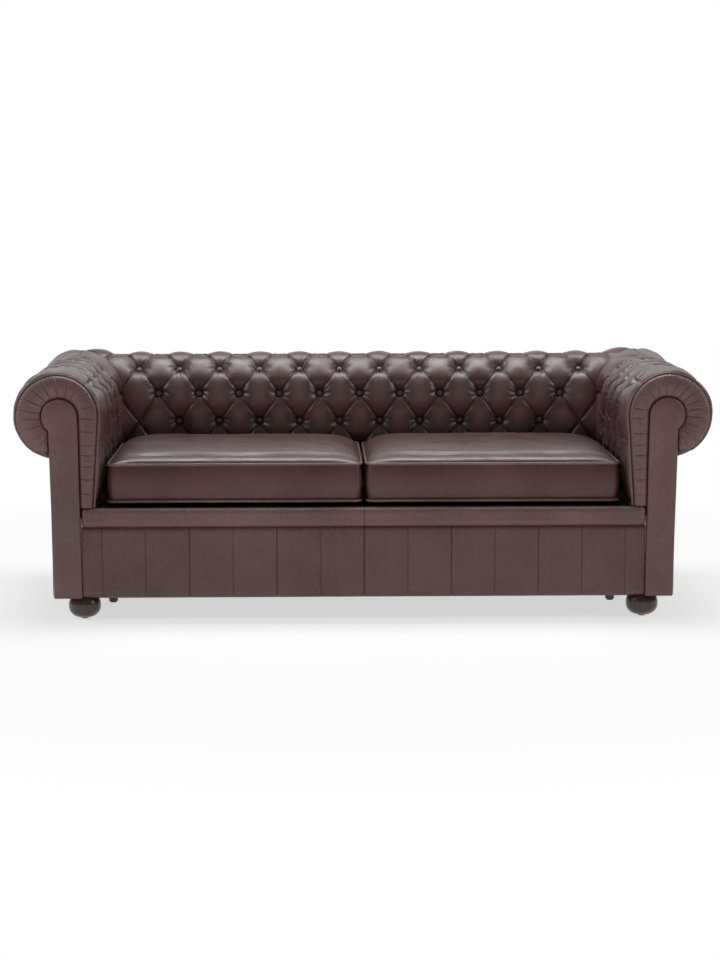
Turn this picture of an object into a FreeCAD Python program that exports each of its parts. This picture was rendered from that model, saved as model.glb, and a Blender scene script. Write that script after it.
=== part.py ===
"""A two-cushion chesterfield sofa: timber frame, springs, deep-buttoned back and arms, loose seat cushions.

Millimetres. The origin is on the floor under the middle of the sofa, +X is to the right as seen from
the front, the front faces -Y and +Z is up. Both arms and the back have one rolled profile,
which is drawn once as (u, z) with u measured outward, and meet at 45 degree mitres.
"""

import FreeCAD
import Part
import math
import os

from FreeCAD import Vector

# Overall sizes
WIDTH = 2030.0
DEPTH = 880.0
ROLL_RADIUS = 122.0
ROLL_HEIGHT = 600.0
SEAM_GAP = 0.3

# Rolled pads and their deep buttoning
PAD_THICKNESS = 47.0
INNER_LEAN = 3.8
ROLL_WRAP = 260.0
TUFT_PITCH = 128.0
TUFT_ROW = 89.0
TUFT_ROWS = 6
FIRST_ROW_HEIGHT = 434.0
FIRST_ROW_MARGIN = 250.0
PILLOW_CROWN = 13.0
PILLOW_SHOULDER = 8.0
FOLD_DEPTH = 3.0
BUTTON_DEPTH = 12.0
BUTTON_FLAT = 10.0
ARM_BUTTONS = 4
ARM_PLAIN_FRONT = 33.0
PLAIN_TAIL = 40.0
FORMER_THICKNESS = 4.0
FORMER_GAP = 0.3

# Buttons
BUTTON_RADIUS = 8.8
BUTTON_DOME = 3.6
SHANK_RADIUS = 2.2
SHANK_SLOPE = 34.0

# Timber frame
FRAME_UNDERSIDE = 66.0
RAIL_TOP = 300.0
FRONT_RAIL_THICKNESS = 38.0
SIDE_RAIL_THICKNESS = 27.0
OUTER_RAIL_THICKNESS = 25.0
OUTER_RAIL_BAND = 46.0
POST_DEPTH = 64.0
BACK_POST_WIDTH = 44.0
BACK_POST_SPACING = 300.0
TOP_RAIL_THICKNESS = 24.0
TOP_RAIL_DROP = 10.0
SPRING_RAIL_DEPTH = 87.0
SPRING_RAIL_THICKNESS = 24.0
CROSS_RAIL_THICKNESS = 28.0
BATTEN_WIDTH = 40.0
BATTEN_HEIGHT = 34.0
BATTEN_SETBACK = 306.0
BLOCK_LEG = 62.0
BLOCK_HEIGHT = 90.0

# Outside covers
OUTSIDE_INSET = 101.0
COVER_THICKNESS = 3.0
COVER_BOTTOM = 65.0
DUST_COVER_THICKNESS = 1.2

# Arm fronts, counted back from the foremost face
FRONT_PANEL_THICKNESS = 17.7
FACING_CROWN = 12.0
FACING_FOLD = 8.0
FACING_EDGE = 4.0
FACING_BOARD_THICKNESS = 8.0
FACING_INSET = 4.0
FACING_LIFT = 1.0
FACING_WRAP = 238.0
FACING_FOLD_ANGLE = 17.0
BAND_FOLD_PITCH = 41.0
PANEL_HEAD_RADIUS = 52.0
PANEL_HEAD_INSET = 8.0
PANEL_CLEARANCE = 1.2
PANEL_NECK_OUT = 24.0
PANEL_NECK_HEIGHT = 525.0
PANEL_FOOT_OUT = 14.0
PANEL_NECK_IN = 62.0
PANEL_FOOT_IN = 66.5
WELT_RADIUS = 3.5

# Front border and channelled apron
BORDER_BOTTOM = 275.0
BORDER_TOP = 331.6
BORDER_ROUND = 16.0
APRON_DEPTH = 16.0
APRON_END_CHANNEL = 40.0
CHANNEL_CROWN = 6.0

# Springs, deck and their fixings
SPRING_COUNT = 10
SPRING_WIRE = 1.9
SPRING_WIDTH = 50.0
SPRING_PITCH = 30.0
SPRING_MARGIN = 110.0
CLIP_WIDTH = 18.0
CLIP_DEPTH = 14.0
CLIP_WALL = 2.0
TIE_WIRE = 1.2
TIE_COUNT = 2
DECK_THICKNESS = 24.0
DECK_GAP = 4.0

# Loose seat cushions
CUSHION_SIDE_GAP = 16.0
CUSHION_GAP = 6.0
CUSHION_SETBACK = 38.0
CUSHION_BACK_GAP = 26.0
BOXING_HEIGHT = 106.0
CUSHION_CROWN = 26.0
CUSHION_BELLY = 15.0
LEAST_CROWN = 0.1
BOXING_BULGE = 6.0
CUSHION_CORNER = 26.0
COVER_SKIN = 2.0
FOAM_GAP = 0.4
PIPING_RADIUS = 4.2
ZIP_MARGIN = 96.0
ZIP_HEIGHT = 28.0
ZIP_TAPE = 1.2
ZIP_STOP = 8.0
SLIDER_LENGTH = 16.0
SLIDER_WIDTH = 9.0
SLIDER_THICKNESS = 2.4

# Feet
FOOT_RADIUS = 47.0
FOOT_WAIST = 38.0
FOOT_BASE = 15.0
FOOT_WIDEST = 38.0
FOOT_INSET = 90.0
FRONT_FOOT_SETBACK = 54.0
REAR_FOOT_INSET = 59.0
SMALL_FOOT_RADIUS = 14.0
SMALL_FOOT_STEP = 61.0
GLIDE_RADIUS = 10.0
GLIDE_THICKNESS = 4.0
STUD_RADIUS = 4.0
STUD_LENGTH = 76.0
STUD_START = 30.0
STUD_COVER = 4.0

# Places that follow from the sizes above
PROFILE_SHIFT = WIDTH / 2 - DEPTH / 2
ROLL_CENTRE = WIDTH / 2 - ROLL_RADIUS
CORE_RADIUS = ROLL_RADIUS - PAD_THICKNESS
FIRST_ROW_REACH = int((ROLL_CENTRE - ROLL_RADIUS - FIRST_ROW_MARGIN) / TUFT_PITCH)
LEAN = math.radians(INNER_LEAN)
FRONT_FACE = -DEPTH / 2
BOARD_FRONT = FRONT_FACE + FRONT_PANEL_THICKNESS + SEAM_GAP
BOARD_BACK = BOARD_FRONT + FACING_BOARD_THICKNESS
OUTSIDE = WIDTH / 2 - OUTSIDE_INSET
OUTSIDE_BACK = OUTSIDE - COVER_THICKNESS
PANEL_NECK_OUTSIDE = ROLL_CENTRE + PANEL_NECK_OUT
PANEL_FOOT_OUTSIDE = ROLL_CENTRE + PANEL_FOOT_OUT
PANEL_NECK_INSIDE = ROLL_CENTRE - PANEL_NECK_IN
PANEL_FOOT_INSIDE = ROLL_CENTRE - PANEL_FOOT_IN
RAIL_FRONT = BOARD_BACK
RAIL_BACK = RAIL_FRONT + FRONT_RAIL_THICKNESS
OUTER_RAIL_INSIDE = OUTSIDE_BACK - OUTER_RAIL_THICKNESS
LINE_TOP = ROLL_HEIGHT - ROLL_RADIUS * math.sin(LEAN)
PAD_BOTTOM = RAIL_TOP + SEAM_GAP
S_FIRST = -(LINE_TOP - FIRST_ROW_HEIGHT) / math.cos(LEAN)
S_BOTTOM = -(LINE_TOP - PAD_BOTTOM) / math.cos(LEAN)
S_END = ROLL_RADIUS * (math.radians(ROLL_WRAP) + LEAN)
SPRING_HEIGHT = RAIL_TOP + SPRING_WIRE + SEAM_GAP
DECK_BOTTOM = SPRING_HEIGHT + SPRING_WIRE + SEAM_GAP + CLIP_WALL + SEAM_GAP
DECK_TOP = DECK_BOTTOM + DECK_THICKNESS
CUSHION_BOTTOM = DECK_TOP + SEAM_GAP
CUSHION_WIDTH = ROLL_CENTRE - ROLL_RADIUS - CUSHION_SIDE_GAP - CUSHION_GAP / 2
CUSHION_FRONT = -FRONT_FACE - CUSHION_SETBACK
CUSHION_BACK = ROLL_CENTRE - ROLL_RADIUS - PROFILE_SHIFT - CUSHION_BACK_GAP
CUSHION_DEPTH = CUSHION_BACK + CUSHION_FRONT
ZIP_LENGTH = CUSHION_WIDTH - 2 * ZIP_MARGIN
BOXING_BOTTOM = CUSHION_BOTTOM + CUSHION_BELLY
BOXING_TOP = BOXING_BOTTOM + BOXING_HEIGHT
FOOT_TOP = FRAME_UNDERSIDE - DUST_COVER_THICKNESS - SEAM_GAP
FOOT_SPAN = OUTSIDE - FOOT_INSET
SMALL_FOOT_SPAN = FOOT_SPAN - SMALL_FOOT_STEP
FRONT_FOOT = FRONT_FACE + FRONT_FOOT_SETBACK
REAR_FOOT = DEPTH / 2 - OUTSIDE_INSET - REAR_FOOT_INSET
SMALL_FOOT = FRONT_FACE + BATTEN_SETBACK
STUD_BORE = STUD_RADIUS + SEAM_GAP
SMALL_STUD_LENGTH = FRAME_UNDERSIDE + BATTEN_HEIGHT - STUD_START - STUD_COVER
PIPING_OFFSET = (PIPING_RADIUS + SEAM_GAP) * math.sqrt(0.5)
SIDES = {"left": -1, "right": 1}


def box(x, y, z):
    """A block from three (low, high) pairs, given in either order."""
    low = Vector(min(x), min(y), min(z))
    return Part.makeBox(max(x) - low.x, max(y) - low.y, max(z) - low.z, low)


def save(name, solids):
    """Write one node's solids to its STEP file."""
    solids = solids if isinstance(solids, list) else [solids]
    shape = solids[0] if len(solids) == 1 else Part.makeCompound(solids)
    shape.exportStep(os.path.join("parts", name + ".step"))
    print(f"{name}: {len(solids)} solid(s), {sum(s.Volume for s in solids) / 1e6:.3f} litres")


def profile_at(s, height=0.0):
    """The (u, z) at distance s round the rolled profile, lifted outward by height.

    s is 0 where the leaning inner face meets the roll, below 0 down that face and above 0 on
    the roll, measured on the plain surface.
    """
    radius = ROLL_RADIUS + height
    angle = -LEAN + max(s, 0.0) / ROLL_RADIUS
    down = min(s, 0.0)
    u = ROLL_CENTRE - radius * math.cos(angle) - down * math.sin(LEAN)
    z = ROLL_HEIGHT + radius * math.sin(angle) + down * math.cos(LEAN)
    return u, z


def line(a, b):
    return Part.LineSegment(a, b).toShape()


def arc(a, middle, b):
    return Part.Arc(a, middle, b).toShape()


def plane_of_profile(pad, place, sign=1):
    """A function that puts a profile point (s, height) in the upright plane at place along a pad."""

    def put(s, height=0.0):
        u, z = profile_at(s, height)
        if pad == "back":
            return Vector(place, u - PROFILE_SHIFT, z)
        return Vector(sign * u, place, z)

    return put


def tuft_state(row, phase, buttoned):
    """How a row stands at one station: (half width, crest height, edge height).

    phase is 0 at the buttons of the even rows and 0.5 at those of the odd rows. The half width is
    None past the row's last button, where its neighbours set where it ends.
    """
    if not buttoned:
        return None, PILLOW_SHOULDER / 2, -FOLD_DEPTH
    share = 2 * (phase if row % 2 == 0 else 0.5 - phase)
    half = BUTTON_FLAT + share * (TUFT_ROW - 2 * BUTTON_FLAT)
    if share == 0:
        return half, -BUTTON_DEPTH, -BUTTON_DEPTH
    if share == 1:
        return half, PILLOW_CROWN, -BUTTON_DEPTH
    return half, PILLOW_SHOULDER, -FOLD_DEPTH


def core_edges(put, last, corner):
    """The inside of a pad's section: round the core and down to the seat rail."""
    marks = (S_END, 0.75 * S_END, 0.5 * S_END, 0.25 * S_END, 0.0, S_BOTTOM)
    core = [put(s, -PAD_THICKNESS) for s in marks]
    return [
        line(last, core[0]),
        arc(core[0], core[1], core[2]),
        arc(core[2], core[3], core[4]),
        line(core[4], core[5]),
        line(core[5], corner),
    ]


def row_ends(states):
    """The (s, height) where each row meets the next, with the two outer ends of all rows."""
    ends = []
    for row in range(TUFT_ROWS + 1):
        below = states[row - 1] if row > 0 else (None, 0.0, 0.0)
        above = states[row] if row < TUFT_ROWS else (None, 0.0, 0.0)
        if below[0] is not None:
            ends.append((S_FIRST + (row - 1) * TUFT_ROW + below[0], below[2]))
        elif above[0] is not None:
            ends.append((S_FIRST + row * TUFT_ROW - above[0], above[2]))
        else:
            ends.append((S_FIRST + (row - 0.5) * TUFT_ROW, -FOLD_DEPTH))
    return ends


def tufted_section(put, states):
    """One closed section of a tufted pad, from its rows' states."""
    ends = row_ends(states)
    corner = put(S_BOTTOM)
    edges = [line(corner, put(*ends[0]))]
    for low, high, (half, crest, edge) in zip(ends, ends[1:], states):
        a = put(*low)
        b = put(*high)
        edges.append(line(a, b) if crest == edge else arc(a, put((low[0] + high[0]) / 2, crest), b))
    swell = (PILLOW_SHOULDER - states[-1][1]) / 2
    last = put(S_END)
    edges.append(arc(put(*ends[-1]), put((ends[-1][0] + S_END) / 2, swell), last))
    return Part.Wire(edges + core_edges(put, last, corner))


def plain_section(put):
    """A section with the same edges and no buttons or folds, for a pad's ends."""
    rows = [S_FIRST + row * TUFT_ROW for row in range(TUFT_ROWS)]
    cuts = [rows[0] - TUFT_ROW / 2] + [s + TUFT_ROW / 2 for s in rows]
    edges = [line(put(S_BOTTOM), put(cuts[0]))]
    for low, high in zip(cuts, cuts[1:]):
        straight = high <= 0
        middle = put((low + high) / 2)
        edges.append(line(put(low), put(high)) if straight else arc(put(low), middle, put(high)))
    last = put(S_END)
    edges.append(arc(put(cuts[-1]), put((cuts[-1] + S_END) / 2), last))
    return Part.Wire(edges + core_edges(put, last, put(S_BOTTOM)))


def back_stations():
    """Quarter-pitch stations along the back as (X, phase), past the last button each way."""
    quarter = TUFT_PITCH / 4
    reach = int(back_limit(TUFT_ROWS - 1) / quarter) + 1
    found = []
    for count in range(-reach, reach + 1):
        turn = (count % 4) / 4
        found.append((count * quarter, min(turn, 1 - turn)))
    return found


def back_limit(row):
    """The furthest X of a button in a row of the back, which grows by half a pitch a row."""
    return (FIRST_ROW_REACH + row / 2) * TUFT_PITCH


def arm_stations():
    """Quarter-pitch stations along an arm as (Y, phase), past the last button."""
    quarter = TUFT_PITCH / 4
    first = BOARD_BACK + ARM_PLAIN_FRONT
    found = []
    for count in range(1, 4 * ARM_BUTTONS + 3):
        turn = (count % 4) / 4
        found.append((first + count * quarter, min(turn, 1 - turn)))
    return found


def is_buttoned(pad, row, place):
    """Whether a row is still tufted at a place along its pad."""
    quarter = TUFT_PITCH / 4
    if pad == "back":
        return abs(place) <= back_limit(row) + quarter
    first = BOARD_BACK + ARM_PLAIN_FRONT + (4 if row % 2 == 0 else 2) * quarter
    last = first + (ARM_BUTTONS - 1) * TUFT_PITCH
    return first - quarter <= place <= last + quarter


def mitre_wedge(sign, pad):
    """The block to cut off a pad or former beyond its 45 degree mitre, with half a seam's gap."""
    near = profile_at(0.0)[0] - 2 * PAD_THICKNESS
    far = WIDTH / 2 + 2 * PAD_THICKNESS
    gap = SEAM_GAP / 2 * math.sqrt(2)
    if pad == "back":
        corners = [(near, near + gap), (far, far + gap), (far, near + gap)]
    else:
        corners = [(near, near - gap), (far, far - gap), (near, far - gap)]
    points = [Vector(sign * x, u - PROFILE_SHIFT, 0) for x, u in corners]
    height = ROLL_HEIGHT + ROLL_RADIUS + PAD_THICKNESS
    return Part.Face(Part.makePolygon(points + points[:1])).extrude(Vector(0, 0, height))


def make_back_pad():
    """The deep-buttoned inside back, mitred at both ends."""
    end = WIDTH / 2 + PLAIN_TAIL
    wires = [plain_section(plane_of_profile("back", -end))]
    for place, phase in back_stations():
        states = [tuft_state(row, phase, is_buttoned("back", row, place)) for row in range(TUFT_ROWS)]
        wires.append(tufted_section(plane_of_profile("back", place), states))
    wires.append(plain_section(plane_of_profile("back", end)))
    pad = Part.makeLoft(wires, True, True)
    for sign in SIDES.values():
        pad = pad.cut(mitre_wedge(sign, "back"))
    return pad.Solids[0]


def make_arm_pad(sign):
    """One deep-buttoned inside arm, plain behind the arm front and mitred at the back."""
    wires = [plain_section(plane_of_profile("arm", BOARD_BACK, sign))]
    for place, phase in arm_stations():
        states = [tuft_state(row, phase, is_buttoned("arm", row, place)) for row in range(TUFT_ROWS)]
        wires.append(tufted_section(plane_of_profile("arm", place, sign), states))
    wires.append(plain_section(plane_of_profile("arm", DEPTH / 2 + PLAIN_TAIL, sign)))
    return Part.makeLoft(wires, True, True).cut(mitre_wedge(sign, "arm")).Solids[0]


def button(put, s):
    """A covered button with a tapered shank, pulled down onto the pad at distance s."""
    foot = put(s, -BUTTON_DEPTH)
    outward = (put(s) - foot).normalize()
    slope = math.tan(math.radians(SHANK_SLOPE))
    start = SHANK_RADIUS * slope + SEAM_GAP
    rim = BUTTON_RADIUS * slope + SEAM_GAP
    dome = (BUTTON_RADIUS ** 2 + BUTTON_DOME ** 2) / (2 * BUTTON_DOME)
    centre = rim + BUTTON_DOME - dome
    half_turn = math.asin(BUTTON_RADIUS / dome) / 2
    edge = Vector(BUTTON_RADIUS, 0, rim)
    top = Vector(0, 0, rim + BUTTON_DOME)
    outline = [
        line(Vector(0, 0, start), Vector(SHANK_RADIUS, 0, start)),
        line(Vector(SHANK_RADIUS, 0, start), edge),
        arc(edge, Vector(dome * math.sin(half_turn), 0, centre + dome * math.cos(half_turn)), top),
        line(top, Vector(0, 0, start)),
    ]
    solid = Part.Face(Part.Wire(outline)).revolve(Vector(0, 0, 0), Vector(0, 0, 1), 360)
    solid.Placement = FreeCAD.Placement(foot, FreeCAD.Rotation(Vector(0, 0, 1), outward))
    return solid


def make_buttons(pad, sign=1):
    """Every button of a pad, row by row."""
    stations = back_stations() if pad == "back" else arm_stations()
    found = []
    for row in range(TUFT_ROWS):
        wanted = 0.0 if row % 2 == 0 else 0.5
        for place, phase in stations:
            if phase == wanted and is_buttoned(pad, row, place):
                put = plane_of_profile(pad, place, sign)
                found.append(button(put, S_FIRST + row * TUFT_ROW))
    return found


def make_former(pad, sign=1):
    """The curved hardboard shell that the pad is laid on, from the seat rail round the roll."""
    outer = -PAD_THICKNESS - FORMER_GAP
    inner = outer - FORMER_THICKNESS
    start = -WIDTH / 2 if pad == "back" else BOARD_BACK
    end = WIDTH / 2 if pad == "back" else DEPTH / 2
    put = plane_of_profile(pad, start, sign)
    marks = [S_BOTTOM, 0.0, 0.25 * S_END, 0.5 * S_END, 0.75 * S_END, S_END]
    near = [put(s, outer) for s in marks]
    far = [put(s, inner) for s in marks]
    outline = [
        line(near[0], near[1]),
        arc(near[1], near[2], near[3]),
        arc(near[3], near[4], near[5]),
        line(near[5], far[5]),
        arc(far[5], far[4], far[3]),
        arc(far[3], far[2], far[1]),
        line(far[1], far[0]),
        line(far[0], near[0]),
    ]
    along = Vector(end - start, 0, 0) if pad == "back" else Vector(0, end - start, 0)
    former = Part.Face(Part.Wire(outline)).extrude(along)
    for side in SIDES.values() if pad == "back" else [sign]:
        former = former.cut(mitre_wedge(side, pad))
    return former.Solids[0]


def core_face(extra=0.0):
    """How far out the back of the former stands at the seat rail, where the posts begin."""
    return profile_at(S_BOTTOM, -PAD_THICKNESS - FORMER_GAP - FORMER_THICKNESS - extra)[0]


POST_INSIDE = core_face(SEAM_GAP)
POST_FRONT_Y = POST_INSIDE - PROFILE_SHIFT
OUTER_BACK_INSIDE = OUTER_RAIL_INSIDE - PROFILE_SHIFT
OUTER_BACK_COVER = OUTSIDE_BACK - PROFILE_SHIFT
TOP_RAIL_REACH = CORE_RADIUS - FORMER_GAP - FORMER_THICKNESS - SEAM_GAP
TOP_RAIL_HALF = math.sqrt(TOP_RAIL_REACH**2 - (TOP_RAIL_THICKNESS + TOP_RAIL_DROP) ** 2)
TOP_RAIL_TOP = ROLL_HEIGHT - TOP_RAIL_DROP
TOP_RAIL_BOTTOM = TOP_RAIL_TOP - TOP_RAIL_THICKNESS


def make_seat_rails():
    """The four rails of the seat frame and the rails across it."""
    heights = (FRAME_UNDERSIDE, RAIL_TOP)
    front = box((-POST_INSIDE, POST_INSIDE), (RAIL_FRONT, RAIL_BACK), heights)
    save("front_seat_rail", bore_studs(front))
    rear = (OUTER_BACK_INSIDE, OUTER_BACK_COVER)
    save("rear_seat_rail", box((-OUTER_RAIL_INSIDE, OUTER_RAIL_INSIDE), rear, heights))
    for side, sign in SIDES.items():
        across = (sign * (POST_INSIDE - SIDE_RAIL_THICKNESS), sign * POST_INSIDE)
        rail = box(across, (RAIL_BACK, OUTER_BACK_INSIDE), heights)
        save(f"{side}_seat_side_rail", bore_studs(rail))
    inside = POST_INSIDE - SIDE_RAIL_THICKNESS
    spring_rail = box(
        (-inside, inside),
        (POST_FRONT_Y - SPRING_RAIL_DEPTH, POST_FRONT_Y),
        (RAIL_TOP - SPRING_RAIL_THICKNESS, RAIL_TOP),
    )
    save("rear_spring_rail", spring_rail)
    batten_top = FRAME_UNDERSIDE + BATTEN_HEIGHT
    batten = box(
        (-inside, inside),
        (SMALL_FOOT - BATTEN_WIDTH / 2, SMALL_FOOT + BATTEN_WIDTH / 2),
        (FRAME_UNDERSIDE, batten_top),
    )
    save("base_batten", bore_studs(batten))
    cross = box(
        (-CROSS_RAIL_THICKNESS / 2, CROSS_RAIL_THICKNESS / 2),
        (RAIL_BACK, OUTER_BACK_INSIDE),
        (batten_top, RAIL_TOP - SPRING_RAIL_THICKNESS),
    )
    save("seat_cross_rail", cross)


def make_corner_blocks():
    """Triangular glue blocks in the four corners of the seat frame."""
    inside = POST_INSIDE - SIDE_RAIL_THICKNESS
    top = RAIL_TOP - SPRING_RAIL_THICKNESS
    blocks = []
    for sign in SIDES.values():
        for y, way in ((RAIL_BACK, 1), (OUTER_BACK_INSIDE, -1)):
            points = [
                Vector(sign * inside, y, top - BLOCK_HEIGHT),
                Vector(sign * (inside - BLOCK_LEG), y, top - BLOCK_HEIGHT),
                Vector(sign * inside, y + way * BLOCK_LEG, top - BLOCK_HEIGHT),
            ]
            face = Part.Face(Part.makePolygon(points + points[:1]))
            blocks.append(face.extrude(Vector(0, 0, BLOCK_HEIGHT)))
    save("corner_blocks", blocks)


def make_posts():
    """Posts at both ends of each arm, and two between them in the back."""
    heights = (FRAME_UNDERSIDE, TOP_RAIL_BOTTOM)
    front = (BOARD_BACK, BOARD_BACK + POST_DEPTH)
    rear = (POST_FRONT_Y, OUTER_BACK_INSIDE)
    across = [(sign * POST_INSIDE, sign * OUTER_RAIL_INSIDE) for sign in SIDES.values()]
    save("arm_front_posts", [box(x, front, heights) for x in across])
    save("corner_posts", [box(x, rear, heights) for x in across])
    above = (RAIL_TOP - SPRING_RAIL_THICKNESS, TOP_RAIL_BOTTOM)
    half = BACK_POST_WIDTH / 2
    middles = (-BACK_POST_SPACING, BACK_POST_SPACING)
    save("back_posts", [box((x - half, x + half), rear, above) for x in middles])


def make_upper_rails():
    """The rails inside the rolls, and the outer rails that the outside covers are tacked to."""
    heights = (TOP_RAIL_BOTTOM, TOP_RAIL_TOP)
    back_centre = ROLL_CENTRE - PROFILE_SHIFT
    front_of_back = back_centre - TOP_RAIL_HALF
    ends = ROLL_CENTRE + TOP_RAIL_HALF
    save("back_top_rail", box((-ends, ends), (front_of_back, back_centre + TOP_RAIL_HALF), heights))
    outer_top = profile_at(S_END)[1] - SEAM_GAP
    tack = (outer_top - OUTER_RAIL_BAND, outer_top)
    low = (FRAME_UNDERSIDE, FRAME_UNDERSIDE + OUTER_RAIL_BAND)
    across_back = (-OUTER_RAIL_INSIDE, OUTER_RAIL_INSIDE)
    outer_rails = [box(across_back, (OUTER_BACK_INSIDE, OUTER_BACK_COVER), tack)]
    for side, sign in SIDES.items():
        across = (sign * (ROLL_CENTRE - TOP_RAIL_HALF), sign * (ROLL_CENTRE + TOP_RAIL_HALF))
        outer = (sign * OUTER_RAIL_INSIDE, sign * OUTSIDE_BACK)
        length = (BOARD_BACK, OUTER_BACK_COVER)
        save(f"{side}_arm_top_rail", box(across, (BOARD_BACK, front_of_back), heights))
        outer_rails += [box(outer, length, tack), box(outer, length, low)]
    save("outer_tack_rails", outer_rails)


def make_outside_covers():
    """The flat leather-covered outside arms and outside back, and the cloth under the seat."""
    heights = (COVER_BOTTOM, profile_at(S_END)[1] - SEAM_GAP)
    for side, sign in SIDES.items():
        across = (sign * OUTSIDE_BACK, sign * OUTSIDE)
        save(f"{side}_outside_arm_cover", box(across, (BOARD_BACK, OUTER_BACK_COVER), heights))
    behind = (OUTER_BACK_COVER, OUTER_BACK_COVER + COVER_THICKNESS)
    save("outside_back_cover", box((-OUTSIDE, OUTSIDE), behind, heights))
    cloth = box(
        (-OUTSIDE_BACK, OUTSIDE_BACK),
        (RAIL_FRONT, OUTER_BACK_COVER),
        (FRAME_UNDERSIDE - DUST_COVER_THICKNESS, FRAME_UNDERSIDE),
    )
    for x, y, _ in foot_places():
        cloth = cloth.cut(Part.makeCylinder(STUD_BORE, STUD_LENGTH, Vector(x, y, STUD_START)))
    save("dust_cover", cloth)


def ring_point(sign, radius, angle, y, centre=None):
    """A point on a circle about an arm's roll, with the angle from the inward level line."""
    u = (ROLL_CENTRE if centre is None else centre) - radius * math.cos(angle)
    return Vector(sign * u, y, ROLL_HEIGHT + radius * math.sin(angle))


def make_facing_board(sign):
    """The plywood arm front: the roll's shape above, the leg of the arm below."""
    radius = ROLL_RADIUS - FACING_INSET
    wrap = math.radians(FACING_WRAP)
    y = BOARD_FRONT
    shelf = BORDER_TOP + FACING_LIFT
    lean_u, _ = profile_at(-(LINE_TOP - shelf) / math.cos(LEAN), -FACING_INSET)
    points = [
        Vector(sign * lean_u, y, shelf),
        ring_point(sign, radius, -LEAN, y),
        ring_point(sign, radius, wrap / 2, y),
        ring_point(sign, radius, wrap, y),
    ]
    foot = [
        Vector(sign * OUTER_RAIL_INSIDE, y, points[3].z),
        Vector(sign * OUTER_RAIL_INSIDE, y, FRAME_UNDERSIDE),
        Vector(sign * PANEL_NECK_INSIDE, y, FRAME_UNDERSIDE),
        Vector(sign * PANEL_NECK_INSIDE, y, shelf),
    ]
    quarter = ring_point(sign, radius, wrap / 4, y)
    three = ring_point(sign, radius, 3 * wrap / 4, y)
    edges = [
        line(points[0], points[1]),
        arc(points[1], quarter, points[2]),
        arc(points[2], three, points[3]),
        line(points[3], foot[0]),
        line(foot[0], foot[1]),
        line(foot[1], foot[2]),
        line(foot[2], foot[3]),
        line(foot[3], points[0]),
    ]
    return Part.Face(Part.Wire(edges)).extrude(Vector(0, FACING_BOARD_THICKNESS, 0))


def panel_edge(z):
    """The (inside, outside) u of the keyhole panel's straight sides at a height."""
    share = (z - COVER_BOTTOM) / (PANEL_NECK_HEIGHT - COVER_BOTTOM)
    inside = PANEL_FOOT_INSIDE + share * (PANEL_NECK_INSIDE - PANEL_FOOT_INSIDE)
    outside = PANEL_FOOT_OUTSIDE + share * (PANEL_NECK_OUTSIDE - PANEL_FOOT_OUTSIDE)
    return inside, outside


def make_front_panel(sign):
    """The padded keyhole panel that stands proud on the arm front, from the head to the floor edge."""
    head = ROLL_CENTRE - PANEL_HEAD_INSET
    radius = PANEL_HEAD_RADIUS
    inside, outside = panel_edge(PANEL_NECK_HEIGHT)
    foot_in, foot_out = panel_edge(COVER_BOTTOM)
    y = FRONT_FACE
    start = -math.acos(min(1.0, (head - PANEL_NECK_INSIDE) / radius)) if head - inside < radius else 0.0
    end = math.pi + math.acos((outside - head) / radius)
    middle = (start + end) / 2
    points = [
        Vector(sign * foot_out, y, COVER_BOTTOM),
        Vector(sign * foot_in, y, COVER_BOTTOM),
        Vector(sign * inside, y, PANEL_NECK_HEIGHT),
        ring_point(sign, radius, start, y, head),
        ring_point(sign, radius, middle, y, head),
        ring_point(sign, radius, end, y, head),
        Vector(sign * outside, y, PANEL_NECK_HEIGHT),
    ]
    edges = [
        line(points[0], points[1]),
        line(points[1], points[2]),
        line(points[2], points[3]),
        arc(points[3], ring_point(sign, radius, (start + middle) / 2, y, head), points[4]),
        arc(points[4], ring_point(sign, radius, (middle + end) / 2, y, head), points[5]),
        line(points[5], points[6]),
        line(points[6], points[0]),
    ]
    return Part.Face(Part.Wire(edges)).extrude(Vector(0, FRONT_PANEL_THICKNESS, 0))


def facing_spokes(sign):
    """Inner and outer ends of the arm front's folds, from the border up and round the roll."""
    spokes = []
    radius = ROLL_RADIUS - FACING_INSET
    head = ROLL_CENTRE - PANEL_HEAD_INSET
    low = BORDER_TOP + FACING_LIFT
    straight = int((ROLL_HEIGHT - low) / (BAND_FOLD_PITCH / 2))
    for count in range(straight):
        z = low + count * BAND_FOLD_PITCH / 2
        outer = profile_at(-(LINE_TOP - z) / math.cos(LEAN), -FACING_INSET)[0]
        inner = panel_edge(z)[0] - SEAM_GAP
        spokes.append((Vector(sign * outer, 0, z), Vector(sign * inner, 0, z)))
    turns = int(FACING_WRAP / (FACING_FOLD_ANGLE / 2))
    for count in range(turns + 1):
        angle = math.radians(count * FACING_WRAP / turns)
        outer = ring_point(sign, radius, angle, 0)
        inner = ring_point(sign, PANEL_HEAD_RADIUS + PANEL_CLEARANCE, angle, 0, head)
        if angle > math.pi:
            inner.x = sign * max(abs(inner.x), PANEL_NECK_OUTSIDE + PANEL_CLEARANCE)
        spokes.append((outer, inner))
    return spokes


def make_pleated_facing(sign):
    """The soft band round the keyhole panel, gathered in folds that point at its head."""
    wires = []
    for count, (outer, inner) in enumerate(facing_spokes(sign)):
        crown = FACING_CROWN if count % 2 else FACING_FOLD
        back = Vector(0, BOARD_FRONT - SEAM_GAP, 0)
        edge = back - Vector(0, FACING_EDGE, 0)
        top = (outer + inner) * 0.5 + back - Vector(0, crown, 0)
        wires.append(
            Part.Wire(
                [
                    line(outer + back, outer + edge),
                    arc(outer + edge, top, inner + edge),
                    line(inner + edge, inner + back),
                    line(inner + back, outer + back),
                ]
            )
        )
    return Part.makeLoft(wires, True, True)


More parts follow.
